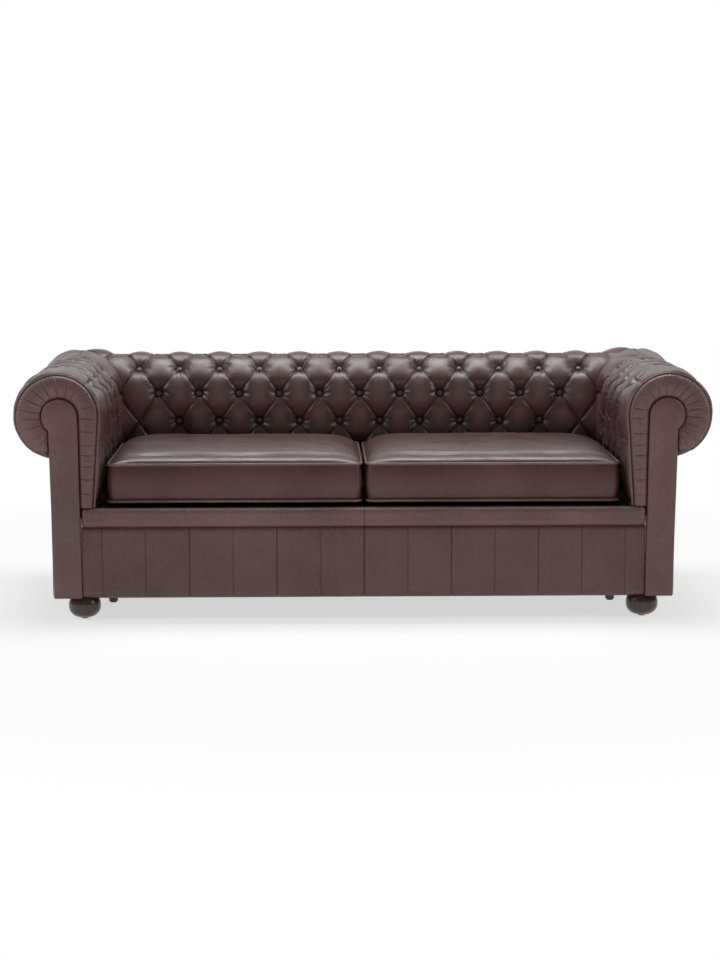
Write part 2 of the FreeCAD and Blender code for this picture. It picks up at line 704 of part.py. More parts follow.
def make_welt(sign):
    """The piping in the corner between the pad and the arm front."""
    radius = ROLL_RADIUS - FACING_INSET + WELT_RADIUS + SEAM_GAP
    offset = radius - ROLL_RADIUS
    y = BOARD_FRONT + FACING_BOARD_THICKNESS / 2
    low = BORDER_TOP + WELT_RADIUS
    start_u, start_z = profile_at(-(LINE_TOP - low) / math.cos(LEAN), offset)
    start = Vector(sign * start_u, y, start_z)
    wrap = math.radians(FACING_WRAP)
    marks = [ring_point(sign, radius, -LEAN + share * (wrap + LEAN) / 4, y) for share in range(5)]
    path = Part.Wire([line(start, marks[0]), arc(*marks[0:3]), arc(*marks[2:5])])
    ring = Part.Wire(Part.makeCircle(WELT_RADIUS, start, marks[0] - start))
    return path.makePipeShell([ring], True, False)


def make_arm_fronts():
    """Board, pleated facing, keyhole panel and welt of each arm."""
    for side, sign in SIDES.items():
        save(f"{side}_facing_board", make_facing_board(sign))
        save(f"{side}_pleated_facing", make_pleated_facing(sign))
        save(f"{side}_arm_front_panel", make_front_panel(sign))
        save(f"{side}_arm_welt", make_welt(sign))


def make_border():
    """The rounded padded lip across the top of the front rail."""
    half = PANEL_FOOT_INSIDE - SEAM_GAP
    front = FRONT_FACE
    back = RAIL_FRONT
    r = BORDER_ROUND
    knee = r * (1 - math.sqrt(0.5))
    lower = Vector(-half, front, BORDER_BOTTOM + r)
    upper = Vector(-half, front, BORDER_TOP - r)
    edges = [
        line(Vector(-half, back, BORDER_BOTTOM), Vector(-half, front + r, BORDER_BOTTOM)),
        arc(
            Vector(-half, front + r, BORDER_BOTTOM),
            Vector(-half, front + knee, BORDER_BOTTOM + knee),
            lower,
        ),
        line(lower, upper),
        arc(upper, Vector(-half, front + knee, BORDER_TOP - knee), Vector(-half, front + r, BORDER_TOP)),
        line(Vector(-half, front + r, BORDER_TOP), Vector(-half, back, BORDER_TOP)),
        line(Vector(-half, back, BORDER_TOP), Vector(-half, back, BORDER_BOTTOM)),
    ]
    return Part.Face(Part.Wire(edges)).extrude(Vector(2 * half, 0, 0))


def make_apron():
    """The channelled apron: upright soft channels, with a narrow one at each end."""
    half = PANEL_FOOT_INSIDE - SEAM_GAP
    face = RAIL_FRONT - APRON_DEPTH
    each_way = int((half - APRON_END_CHANNEL) / TUFT_PITCH)
    seams = [count * TUFT_PITCH for count in range(-each_way, each_way + 1)]
    marks = [-half] + seams + [half]
    z = COVER_BOTTOM
    edges = [line(Vector(-half, RAIL_FRONT, z), Vector(-half, face + CHANNEL_CROWN, z))]
    for low, high in zip(marks, marks[1:]):
        a = Vector(low, face + CHANNEL_CROWN, z)
        b = Vector(high, face + CHANNEL_CROWN, z)
        edges.append(arc(a, Vector((low + high) / 2, face, z), b))
    edges.append(line(Vector(half, face + CHANNEL_CROWN, z), Vector(half, RAIL_FRONT, z)))
    edges.append(line(Vector(half, RAIL_FRONT, z), Vector(-half, RAIL_FRONT, z)))
    height = BORDER_BOTTOM - SEAM_GAP - COVER_BOTTOM
    return Part.Face(Part.Wire(edges)).extrude(Vector(0, 0, height))


def spring_ends():
    """Y of the first and last run of a seat spring, on the front rail and the rear spring rail."""
    front = (RAIL_FRONT + RAIL_BACK) / 2
    rear = POST_FRONT_Y - SPRING_RAIL_DEPTH + CLIP_DEPTH
    return front, rear


def spring_places():
    """X of the seat springs, spread evenly."""
    span = 2 * (POST_INSIDE - SPRING_MARGIN)
    return [-span / 2 + span * count / (SPRING_COUNT - 1) for count in range(SPRING_COUNT)]


def make_springs():
    """Sinuous springs from the front rail to the rear spring rail, one wire each."""
    front, rear = spring_ends()
    runs = 2 * round((rear - front) / SPRING_PITCH / 2)
    pitch = (rear - front) / runs
    bend = pitch / 2
    reach = SPRING_WIDTH / 2 - bend
    springs = []
    for x in spring_places():
        edges = []
        y = front
        way = 1
        point = Vector(x - reach, y, SPRING_HEIGHT)
        for count in range(runs):
            turn = Vector(x + way * reach, y, SPRING_HEIGHT)
            edges.append(line(point, turn))
            middle = Vector(x + way * (reach + bend), y + bend, SPRING_HEIGHT)
            after = Vector(x + way * reach, y + pitch, SPRING_HEIGHT)
            edges.append(arc(turn, middle, after))
            point = after
            y += pitch
            way = -way
        edges.append(line(point, Vector(x + way * reach, y, SPRING_HEIGHT)))
        start = Vector(x - reach, front, SPRING_HEIGHT)
        ring = Part.Wire(Part.makeCircle(SPRING_WIRE, start, Vector(1, 0, 0)))
        springs.append(Part.Wire(edges).makePipeShell([ring], True, False))
    return springs


def make_spring_clips():
    """Saddle clips that hold both ends of every spring down on the rails."""
    bore = SPRING_WIRE + SEAM_GAP
    top = SPRING_HEIGHT + bore + CLIP_WALL - SEAM_GAP
    clips = []
    for x in spring_places():
        for y in spring_ends():
            clip = box(
                (x - CLIP_WIDTH / 2, x + CLIP_WIDTH / 2),
                (y - CLIP_DEPTH / 2, y + CLIP_DEPTH / 2),
                (RAIL_TOP, top),
            )
            start = Vector(x - CLIP_WIDTH, y, SPRING_HEIGHT)
            clip = clip.cut(Part.makeCylinder(bore, 2 * CLIP_WIDTH, start, Vector(1, 0, 0)))
            across = (x - CLIP_WIDTH, x + CLIP_WIDTH)
            slot = box(across, (y - bore, y + bore), (RAIL_TOP - CLIP_WALL, SPRING_HEIGHT))
            clips.append(clip.cut(slot).Solids[0])
    return clips


def make_tie_wires():
    """Straight wires under the springs, from side rail to side rail, that tie them together."""
    front, rear = spring_ends()
    half = POST_INSIDE - SIDE_RAIL_THICKNESS
    z = SPRING_HEIGHT - SPRING_WIRE - TIE_WIRE - SEAM_GAP
    wires = []
    for count in range(TIE_COUNT):
        y = front + (rear - front) * (count + 1) / (TIE_COUNT + 1)
        wires.append(Part.makeCylinder(TIE_WIRE, 2 * half, Vector(-half, y, z), Vector(1, 0, 0)))
    return wires


def make_deck():
    """The padded deck over the springs, which the loose cushions lie on."""
    inner = profile_at(-(LINE_TOP - DECK_TOP) / math.cos(LEAN))[0]
    half = inner - DECK_GAP
    front = RAIL_FRONT + SEAM_GAP
    return box((-half, half), (front, half - PROFILE_SHIFT), (DECK_BOTTOM, DECK_TOP))


def cushion_span(skin=0.0):
    """(half width, front, back) of a cushion's boxing, inside the piping, drawn in by skin."""
    edge = PIPING_OFFSET + PIPING_RADIUS + skin
    return CUSHION_WIDTH / 2 - edge, -CUSHION_FRONT + edge, -CUSHION_FRONT + CUSHION_DEPTH - edge


def cushion_section(x, corner_inset, skin, crown, belly):
    """A section across a cushion at x: front, top, back and bottom as shallow arcs."""
    _, front, back = cushion_span(skin)
    front += corner_inset
    back -= corner_inset
    low = BOXING_BOTTOM + skin
    high = BOXING_TOP - skin
    middle_y = (front + back) / 2
    middle_z = (low + high) / 2
    corners = [Vector(x, front, low), Vector(x, front, high), Vector(x, back, high), Vector(x, back, low)]
    return Part.Wire(
        [
            arc(corners[0], Vector(x, front - BOXING_BULGE, middle_z), corners[1]),
            arc(corners[1], Vector(x, middle_y, high + crown), corners[2]),
            arc(corners[2], Vector(x, back + BOXING_BULGE, middle_z), corners[3]),
            arc(corners[3], Vector(x, middle_y, low - belly), corners[0]),
        ]
    )


def cushion_solid(centre, skin):
    """A crowned cushion shape with rounded corners, drawn in by skin on every side."""
    half = cushion_span(skin)[0]
    right = []
    for share in (0.0, 0.4, 0.75):
        right.append((share * half, 0.0))
    for degrees in (0, 30, 60, 90):
        angle = math.radians(degrees)
        x = half - CUSHION_CORNER * (1 - math.sin(angle))
        right.append((x, CUSHION_CORNER * (1 - math.cos(angle))))
    stations = [(-x, inset) for x, inset in reversed(right[1:])] + right
    wires = []
    for x, inset in stations:
        swell = math.sqrt(max(0.0, 1 - (x / half) ** 2))
        crown = max(LEAST_CROWN, CUSHION_CROWN * swell)
        belly = max(LEAST_CROWN, CUSHION_BELLY * swell)
        wires.append(cushion_section(centre + x, inset, skin, crown, belly))
    return Part.makeLoft(wires, True, True)


def piping_loop(centre, z):
    """One closed ring of piping round a cushion at height z."""
    half, front, back = cushion_span(-PIPING_OFFSET)
    r = CUSHION_CORNER + PIPING_OFFSET
    knee = r * (1 - math.sqrt(0.5))
    left = centre - half
    right = centre + half
    edges = [
        line(Vector(centre, front, z), Vector(right - r, front, z)),
        arc(Vector(right - r, front, z), Vector(right - knee, front + knee, z), Vector(right, front + r, z)),
        line(Vector(right, front + r, z), Vector(right, back - r, z)),
        arc(Vector(right, back - r, z), Vector(right - knee, back - knee, z), Vector(right - r, back, z)),
        line(Vector(right - r, back, z), Vector(left + r, back, z)),
        arc(Vector(left + r, back, z), Vector(left + knee, back - knee, z), Vector(left, back - r, z)),
        line(Vector(left, back - r, z), Vector(left, front + r, z)),
        arc(Vector(left, front + r, z), Vector(left + knee, front + knee, z), Vector(left + r, front, z)),
        line(Vector(left + r, front, z), Vector(centre, front, z)),
    ]
    ring = Part.Wire(Part.makeCircle(PIPING_RADIUS, Vector(centre, front, z), Vector(1, 0, 0)))
    return Part.Wire(edges).makePipeShell([ring], True, False)


def make_cushions():
    """Both loose cushions: foam core, leather cover, two rings of piping and a back zip."""
    for side, sign in SIDES.items():
        centre = sign * (CUSHION_WIDTH + CUSHION_GAP) / 2
        outside = cushion_solid(centre, 0.0)
        save(f"{side}_cushion_cover", outside.cut(cushion_solid(centre, COVER_SKIN)).Solids[0])
        save(f"{side}_cushion_core", cushion_solid(centre, COVER_SKIN + FOAM_GAP))
        heights = (BOXING_TOP + PIPING_OFFSET, BOXING_BOTTOM - PIPING_OFFSET)
        save(f"{side}_cushion_piping", [piping_loop(centre, z) for z in heights])
        make_zip(side, centre)


def make_zip(side, centre):
    """The zip along the back of a cushion, with its slider near the left end."""
    back = cushion_span()[2] + BOXING_BULGE + SEAM_GAP
    behind = back + ZIP_TAPE + SEAM_GAP
    middle = (BOXING_BOTTOM + BOXING_TOP) / 2
    low = centre - ZIP_LENGTH / 2
    start = low + ZIP_STOP
    heights = (middle - ZIP_HEIGHT / 2, middle + ZIP_HEIGHT / 2)
    tape = box((low, low + ZIP_LENGTH), (back, back + ZIP_TAPE), heights)
    slider = box(
        (start, start + SLIDER_LENGTH),
        (behind, behind + SLIDER_THICKNESS),
        (middle - SLIDER_WIDTH / 2, middle + SLIDER_WIDTH / 2),
    )
    save(f"{side}_cushion_zip", tape)
    save(f"{side}_zip_slider", slider)


def foot_places():
    """(x, y, is_large) of all six feet."""
    places = []
    for sign in SIDES.values():
        places.append((sign * FOOT_SPAN, FRONT_FOOT, True))
        places.append((sign * FOOT_SPAN, REAR_FOOT, True))
        places.append((sign * SMALL_FOOT_SPAN, SMALL_FOOT, False))
    return places


def turned(points, x, y):
    """A solid turned about the upright line at (x, y) from line and arc edges."""
    solid = Part.Face(Part.Wire(points)).revolve(Vector(0, 0, 0), Vector(0, 0, 1), 360)
    solid.translate(Vector(x, y, 0))
    return solid


def bun_foot(x, y):
    """A turned bun foot, bored for its stud and for the glide's nail."""
    base = Vector(FOOT_BASE, 0, GLIDE_THICKNESS)
    wide = Vector(FOOT_RADIUS, 0, FOOT_WIDEST)
    top = Vector(FOOT_WAIST, 0, FOOT_TOP)
    lower = Vector(FOOT_BASE + 0.8 * (FOOT_RADIUS - FOOT_BASE), 0, FOOT_WIDEST * 0.45)
    upper = Vector(FOOT_WAIST + 0.68 * (FOOT_RADIUS - FOOT_WAIST), 0, (FOOT_WIDEST + 2 * FOOT_TOP) / 3)
    outline = [
        line(Vector(0, 0, GLIDE_THICKNESS), base),
        arc(base, lower, wide),
        arc(wide, upper, top),
        line(top, Vector(0, 0, FOOT_TOP)),
        line(Vector(0, 0, FOOT_TOP), Vector(0, 0, GLIDE_THICKNESS)),
    ]
    foot = turned(outline, x, y)
    return foot.cut(Part.makeCylinder(STUD_BORE, FOOT_TOP, Vector(x, y, STUD_START - SEAM_GAP)))


def make_feet():
    """Four turned corner feet, two small middle feet, and the glides and studs of all six."""
    middle = []
    glides = []
    studs = []
    for x, y, large in foot_places():
        if large:
            ends = ("front" if y < 0 else "rear", "right" if x > 0 else "left")
            save("{}_{}_foot".format(*ends), bun_foot(x, y))
        else:
            height = FOOT_TOP - GLIDE_THICKNESS
            peg = Part.makeCylinder(SMALL_FOOT_RADIUS, height, Vector(x, y, GLIDE_THICKNESS))
            bore = Part.makeCylinder(STUD_BORE, height, Vector(x, y, STUD_START - SEAM_GAP))
            middle.append(peg.cut(bore))
        glides.append(Part.makeCylinder(GLIDE_RADIUS, GLIDE_THICKNESS, Vector(x, y, 0)))
        length = STUD_LENGTH if large else SMALL_STUD_LENGTH
        studs.append(Part.makeCylinder(STUD_RADIUS, length, Vector(x, y, STUD_START)))
    save("middle_feet", middle)
    save("foot_glides", glides)
    save("foot_studs", studs)


def bore_studs(solid):
    """The same solid with clearance holes for every stud that reaches it."""
    for x, y, large in foot_places():
        length = STUD_LENGTH if large else SMALL_STUD_LENGTH
        solid = solid.cut(Part.makeCylinder(STUD_BORE, length + SEAM_GAP, Vector(x, y, STUD_START)))
    return solid.Solids[0]


def main():
    os.makedirs("parts", exist_ok=True)
    make_seat_rails()
    make_corner_blocks()
    make_posts()
    make_upper_rails()
    make_outside_covers()
    save("back_tufted_pad", make_back_pad())
    save("back_roll_former", make_former("back"))
    save("back_buttons", make_buttons("back"))
    for side, sign in SIDES.items():
        save(f"{side}_arm_tufted_pad", make_arm_pad(sign))
        save(f"{side}_arm_roll_former", make_former("arm", sign))
        save(f"{side}_arm_buttons", make_buttons("arm", sign))
    make_arm_fronts()
    save("front_border", make_border())
    save("front_apron", make_apron())
    save("seat_springs", make_springs())
    save("spring_clips", make_spring_clips())
    save("spring_tie_wires", make_tie_wires())
    save("seat_deck_pad", make_deck())
    make_cushions()
    make_feet()


main()
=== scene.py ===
"""A two-cushion chesterfield sofa in dark plum-brown leather, dressed over its frame.

Metres, Z up, the front of the sofa faces -Y, and the origin is on the floor under its middle.
"""

import logging
import math
import random
from dataclasses import dataclass
from enum import Enum
from typing import Callable

import bmesh
import bpy
from mathutils import Matrix, Vector, noise


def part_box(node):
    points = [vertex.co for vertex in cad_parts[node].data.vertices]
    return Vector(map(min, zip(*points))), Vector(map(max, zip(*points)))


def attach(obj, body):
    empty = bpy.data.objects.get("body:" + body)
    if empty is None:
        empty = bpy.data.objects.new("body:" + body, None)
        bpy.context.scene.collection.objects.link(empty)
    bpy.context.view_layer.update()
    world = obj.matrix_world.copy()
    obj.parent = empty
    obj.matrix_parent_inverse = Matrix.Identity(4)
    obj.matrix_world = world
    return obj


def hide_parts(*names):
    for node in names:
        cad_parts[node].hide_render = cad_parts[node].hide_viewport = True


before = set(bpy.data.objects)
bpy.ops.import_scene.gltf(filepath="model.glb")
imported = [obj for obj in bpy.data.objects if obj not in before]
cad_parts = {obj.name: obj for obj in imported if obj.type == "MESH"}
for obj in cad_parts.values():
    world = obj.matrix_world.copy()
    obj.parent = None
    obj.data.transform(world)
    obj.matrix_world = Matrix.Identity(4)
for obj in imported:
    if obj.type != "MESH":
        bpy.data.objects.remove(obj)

LOG = logging.getLogger("chesterfield")

# The play between pieces that lie against each other.
SEAM = 0.0003


class Side(Enum):
    """The two ends of the sofa, as seen from the front."""

    LEFT = -1
    RIGHT = 1

    @property
    def word(self) -> str:
        """The side's word in the nodes' names."""
        return self.name.lower()


class Pad(Enum):
    """Which of the rolled pads a piece of buttoning belongs to."""

    BACK = "back"
    ARM = "arm"


def smooth(low: float, high: float, value: float) -> float:
    """An eased step from 0 at low to 1 at high.

    Args:
        low: Where the step begins.
        high: Where the step ends, which may be below low.
        value: The place asked about.

    Returns:
        The height of the step there.
    """
    share = min(1.0, max(0.0, (value - low) / (high - low)))
    return share * share * (3.0 - 2.0 * share)


def dome(share: float) -> float:
    """The height of a round edge that rises from 0 at a seam to 1 at a share of 1."""
    share = min(1.0, max(0.0, share))
    return math.sqrt(share * (2.0 - share))


def ripple(x: float, y: float, z: float = 0.0) -> float:
    """Soft seeded noise from about -1 to 1."""
    return noise.noise(Vector((x, y, z)))


class Tree:
    """A material with its nodes, and short ways to add to them."""

    def __init__(self, name: str) -> None:
        """Make the material and its shader.

        Args:
            name: The material's name.
        """
        self.material = bpy.data.materials.new(name)
        self.material.use_nodes = True
        self.nodes = self.material.node_tree.nodes
        self.links = self.material.node_tree.links
        self.shader = self.nodes["Principled BSDF"]
        self.place = self.add("ShaderNodeTexCoord").outputs["Object"]

    def add(self, kind: str, **settings: object) -> bpy.types.Node:
        """Add a node and set its plain settings.

        Args:
            kind: The node's type.
            settings: Its attributes by name.

        Returns:
            The new node.
        """
        node = self.nodes.new(kind)
        for key, value in settings.items():
            setattr(node, key, value)
        return node

    def put(self, value: object, socket: bpy.types.NodeSocket) -> None:
        """Link an output to a socket, or set the socket to a plain value."""
        if isinstance(value, bpy.types.NodeSocket):
            self.links.new(value, socket)
        else:
            socket.default_value = value

    def noise(self, scale: float, detail: float = 3.0, stretch: tuple = (1, 1, 1)) -> bpy.types.NodeSocket:
        """Noise on the object's own coordinates.

        Args:
            scale: Its scale.
            detail: Its detail.
            stretch: Scale along each axis.

        Returns:
            The noise's value.
        """
        node = self.add("ShaderNodeTexNoise")
        node.inputs["Scale"].default_value = scale
        node.inputs["Detail"].default_value = detail
        self.links.new(self.stretched(stretch), node.inputs["Vector"])
        return node.outputs["Fac"]

    def stretched(self, stretch: tuple) -> bpy.types.NodeSocket:
        """The object's coordinates, scaled along each axis."""
        mapping = self.add("ShaderNodeMapping")
        mapping.inputs["Scale"].default_value = stretch
        self.links.new(self.place, mapping.inputs["Vector"])
        return mapping.outputs["Vector"]

    def cells(self, scale: float, feature: str = "F1") -> bpy.types.NodeSocket:
        """Voronoi distance on the object's own coordinates."""
        node = self.add("ShaderNodeTexVoronoi", feature=feature)
        node.inputs["Scale"].default_value = scale
        self.links.new(self.place, node.inputs["Vector"])
        return node.outputs["Distance"]

    def math(self, operation: str, a: object, b: object = 0.0) -> bpy.types.NodeSocket:
        """A maths node's result."""
        node = self.add("ShaderNodeMath", operation=operation)
        self.put(a, node.inputs[0])
        self.put(b, node.inputs[1])
        return node.outputs[0]

    def spread(self, value: object, low: float, high: float, start: float, end: float) -> bpy.types.NodeSocket:
        """A value brought from one range to another.

        Args:
            value: What is brought over.
            low: The bottom of its range.
            high: The top of its range.
            start: The bottom of the new range.
            end: The top of the new range.

        Returns:
            The new value.
        """
        node = self.add("ShaderNodeMapRange")
        for socket, number in zip(node.inputs[:5], (value, low, high, start, end)):
            self.put(number, socket)
        return node.outputs[0]

    def mix(self, share: object, a: object, b: object, blend: str = "MIX") -> bpy.types.NodeSocket:
        """A mix of two colours."""
        node = self.add("ShaderNodeMix", data_type="RGBA", blend_type=blend)
        self.put(share, node.inputs[0])
        self.put(a, node.inputs[6])
        self.put(b, node.inputs[7])
        return node.outputs[2]

    def bump(self, height: object, strength: float, distance: float, below: object = None) -> bpy.types.NodeSocket:
        """A bump normal.

        Args:
            height: What lifts the surface.
            strength: How strong it is.
            distance: How high it stands, in metres.
            below: The normal that it is laid over.

        Returns:
            The normal.
        """
        node = self.add("ShaderNodeBump")
        node.inputs["Strength"].default_value = strength
        node.inputs["Distance"].default_value = distance
        self.put(height, node.inputs["Height"])
        if below is not None:
            self.put(below, node.inputs["Normal"])
        return node.outputs["Normal"]

    def finish(self, colour: object, rough: object, normal: object) -> bpy.types.Material:
        """Join the colour, roughness and normal to the shader, and return the material."""
        self.put(colour, self.shader.inputs["Base Color"])
        self.put(rough, self.shader.inputs["Roughness"])
        self.put(normal, self.shader.inputs["Normal"])
        return self.material


def tone(red: int, green: int, blue: int) -> tuple[float, float, float, float]:
    """A display colour from 0 to 255 as the linear colour that shaders take."""
    parts = [c / 255.0 for c in (red, green, blue)]
    linear = [c / 12.92 if c <= 0.04045 else ((c + 0.055) / 1.055) ** 2.4 for c in parts]
    return (*linear, 1.0)


@dataclass(frozen=True)
class Leather:
    """Dark satin hide with a fine pebble grain, paler where it is rubbed, with shade painted into its folds, seams
    and hollows.
    """

    deep: tuple[int, int, int] = (52, 32, 30)
    rubbed: tuple[int, int, int] = (86, 62, 58)
    grain: float = 380.0
    relief: float = 0.0005
    rough: float = 0.42
    # Whether the mesh's vertex values paint shade into the hide and pale its highest crowns.
    folds: bool = True
    # The colour of the painted shade in folds, seams, hollows and under the cushions.
    shadow: tuple[int, int, int] = (18, 8, 8)
    worn: tuple[int, int, int] = (112, 88, 84)

    def make(self, name: str) -> bpy.types.Material:
        """Build the material.

        Args:
            name: The material's name.

        Returns:
            The leather.
        """
        tree = Tree(name)
        cloud = tree.noise(4.5, 4.0)
        speck = tree.noise(160.0, 2.0)
        blend = tree.spread(cloud, 0.3, 0.7, 0.3, 0.7)
        blend = tree.math("ADD", blend, tree.spread(speck, 0.35, 0.65, -0.16, 0.16))
        colour = tree.mix(blend, tone(*self.deep), tone(*self.rubbed))
        if self.folds:
            # Painted shade: a low vertex value darkens the hide towards the shadow colour; the highest values pale
            # the pillow crowns as rubbed wear.
            painted_shade_and_wear = tree.add("ShaderNodeAttribute", attribute_name="painted_shade_and_wear").outputs["Fac"]
            colour = tree.mix(tree.spread(painted_shade_and_wear, 0.0, 0.45, 0.86, 0.0), colour, tone(*self.shadow))
            colour = tree.mix(tree.spread(painted_shade_and_wear, 0.75, 1.0, 0.0, 0.2), colour, tone(*self.worn))
        pebble = tree.cells(self.grain)
        vein = tree.spread(tree.cells(self.grain * 0.24, "DISTANCE_TO_EDGE"), 0.0, 0.07, 0.0, 1.0)
        fine = tree.noise(self.grain * 2.2, 2.0)
        height = tree.math("ADD", tree.math("MULTIPLY", pebble, -0.5), tree.math("MULTIPLY", fine, 0.35))
        normal = tree.bump(tree.math("ADD", height, tree.math("MULTIPLY", vein, 0.22)), 0.55, self.relief)
        soft = tree.bump(tree.noise(26.0, 3.0), 0.22, 0.0018, normal)
        rough = tree.spread(tree.noise(14.0, 3.0), 0.3, 0.7, self.rough - 0.07, self.rough + 0.1)
        tree.shader.inputs["Specular IOR Level"].default_value = 0.5
        tree.shader.inputs["Coat Weight"].default_value = 0.12
        tree.shader.inputs["Coat Roughness"].default_value = 0.34
        return tree.finish(colour, rough, soft)


@dataclass(frozen=True)
class Wood:
    """Timber or board with its grain along one axis."""

    light: tuple[int, int, int]
    dark: tuple[int, int, int]
    along: tuple[float, float, float] = (1.0, 14.0, 14.0)
    rough: float = 0.6
    gloss: float = 0.0

    def make(self, name: str) -> bpy.types.Material:
        """Build the material.

        Args:
            name: The material's name.

        Returns:
            The wood.
        """
        tree = Tree(name)
        band = tree.noise(5.0, 5.0, self.along)
        pore = tree.noise(70.0, 3.0, self.along)
        share = tree.math("ADD", tree.spread(band, 0.35, 0.65, 0.0, 0.8), tree.spread(pore, 0.3, 0.7, 0.0, 0.25))
        colour = tree.mix(share, tone(*self.light), tone(*self.dark))
        rough = tree.spread(pore, 0.3, 0.7, self.rough - 0.06, self.rough + 0.08)
        tree.shader.inputs["Coat Weight"].default_value = self.gloss
        tree.shader.inputs["Coat Roughness"].default_value = 0.22
        return tree.finish(colour, rough, tree.bump(pore, 0.3, 0.0006))


@dataclass(frozen=True)
class Cloth:
    """Plain woven or felted cloth."""

    light: tuple[int, int, int]
    dark: tuple[int, int, int]
    thread: float = 900.0
    sheen: float = 0.2

    def make(self, name: str) -> bpy.types.Material:
        """Build the material.

        Args:
            name: The material's name.

        Returns:
            The cloth.
        """
        tree = Tree(name)
        warp = tree.noise(self.thread, 2.0, (1.0, 0.15, 1.0))
        weft = tree.noise(self.thread, 2.0, (0.15, 1.0, 1.0))
        weave = tree.math("ADD", tree.math("MULTIPLY", warp, 0.5), tree.math("MULTIPLY", weft, 0.5))
        colour = tree.mix(tree.spread(weave, 0.35, 0.65, 0.0, 1.0), tone(*self.dark), tone(*self.light))
        tree.shader.inputs["Sheen Weight"].default_value = self.sheen
        rough = tree.spread(tree.noise(20.0), 0.3, 0.7, 0.82, 0.95)
        return tree.finish(colour, rough, tree.bump(weave, 0.5, 0.0006))


@dataclass(frozen=True)
class Metal:
    """Drawn or stamped metal, faintly scuffed."""

    light: tuple[int, int, int]
    dark: tuple[int, int, int]
    rough: float = 0.35

    def make(self, name: str) -> bpy.types.Material:
        """Build the material.

        Args:
            name: The material's name.

        Returns:
            The metal.
        """
        tree = Tree(name)
        scuff = tree.noise(240.0, 3.0, (1.0, 0.2, 1.0))
        colour = tree.mix(tree.spread(scuff, 0.3, 0.7, 0.0, 1.0), tone(*self.light), tone(*self.dark))
        tree.shader.inputs["Metallic"].default_value = 1.0
        rough = tree.spread(scuff, 0.3, 0.7, self.rough - 0.08, self.rough + 0.15)
        return tree.finish(colour, rough, tree.bump(scuff, 0.2, 0.0002))


@dataclass(frozen=True)
class Plastic:
    """Moulded plastic with a faint texture."""

    light: tuple[int, int, int]
    dark: tuple[int, int, int]

    def make(self, name: str) -> bpy.types.Material:
        """Build the material.

        Args:
            name: The material's name.

        Returns:
            The plastic.
        """
        tree = Tree(name)
        speck = tree.noise(500.0, 2.0)
        colour = tree.mix(tree.spread(speck, 0.3, 0.7, 0.0, 1.0), tone(*self.light), tone(*self.dark))
        return tree.finish(colour, tree.spread(speck, 0.3, 0.7, 0.38, 0.55), tree.bump(speck, 0.25, 0.0003))


FINISHES: dict[str, object] = {
    # The tufted pads take a darker copy of the same hide, painted shade for the back and arms.
    "tufted_leather": Leather(deep=(38, 20, 19), rubbed=(70, 45, 43)),
    "leather_buttons": Leather(deep=(50, 32, 30), rubbed=(80, 58, 55), grain=520.0, folds=False, rough=0.36),
    "cushion_leather": Leather(deep=(46, 24, 22), rubbed=(74, 46, 43), rough=0.4),
    "piping_leather": Leather(deep=(62, 42, 39), rubbed=(104, 80, 75), grain=520.0, folds=False, rough=0.38),
    "facing_leather": Leather(deep=(62, 41, 39), rubbed=(92, 68, 65), rough=0.42),
    "outside_leather": Leather(deep=(54, 35, 33), rubbed=(82, 59, 56), rough=0.44),
    # The deck's felt is near-black, painted shade for the gap under the cushions.
    "deck_felt": Cloth((12, 10, 10), (5, 4, 4), 700.0, sheen=0.0),
    "dust_cloth": Cloth((40, 39, 38), (22, 21, 21)),
    "zip_tape": Cloth((58, 44, 40), (34, 26, 24), 1400.0),
    "zip_brass": Metal((190, 150, 84), (120, 90, 48)),
    "spring_steel": Metal((150, 150, 152), (88, 88, 92)),
    "glide_nylon": Plastic((52, 50, 50), (34, 33, 33)),
    "turned_wood": Wood((58, 36, 28), (24, 13, 10), (14.0, 14.0, 1.5), 0.34, 0.4),
    "stained_timber": Wood((40, 30, 25), (26, 19, 16), (3.0, 3.0, 0.4), 0.8),
    "hardboard": Wood((52, 38, 28), (34, 24, 18), (3.0, 3.0, 3.0), 0.7),
    "frame_timber": Wood((206, 176, 132), (164, 128, 86)),
}

NODE_FINISHES: dict[str, tuple[str, ...]] = {
    "frame_timber": (
        "front_seat_rail",
        "rear_seat_rail",
        "left_seat_side_rail",
        "right_seat_side_rail",
        "rear_spring_rail",
        "base_batten",
        "seat_cross_rail",
        "corner_blocks",
        "corner_posts",
        "back_posts",
        "back_top_rail",
        "left_arm_top_rail",
        "right_arm_top_rail",
        "outer_tack_rails",
    ),
    "hardboard": (
        "back_roll_former",
        "left_arm_roll_former",
        "right_arm_roll_former",
        "left_facing_board",
        "right_facing_board",
    ),
    "stained_timber": ("arm_front_posts",),
    "leather_buttons": ("back_buttons", "left_arm_buttons", "right_arm_buttons"),
    "spring_steel": ("seat_springs", "spring_clips", "spring_tie_wires", "foot_studs"),
    "zip_tape": ("left_cushion_zip", "right_cushion_zip"),
    "zip_brass": ("left_zip_slider", "right_zip_slider"),
    "turned_wood": ("front_left_foot", "front_right_foot", "rear_left_foot", "rear_right_foot", "middle_feet"),
    "glide_nylon": ("foot_glides",),
}


class Wardrobe:
    """The finishes as materials, made once each."""

    def __init__(self) -> None:
        """Make every material."""
        self.materials = {slot: look.make(slot) for slot, look in FINISHES.items()}

    def dress_frame(self) -> None:
        """Give each CAD node that stays in view its material."""
        for slot, names in NODE_FINISHES.items():
            for name in names:
                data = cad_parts[name].data
                data.materials.clear()
                data.materials.append(self.materials[slot])


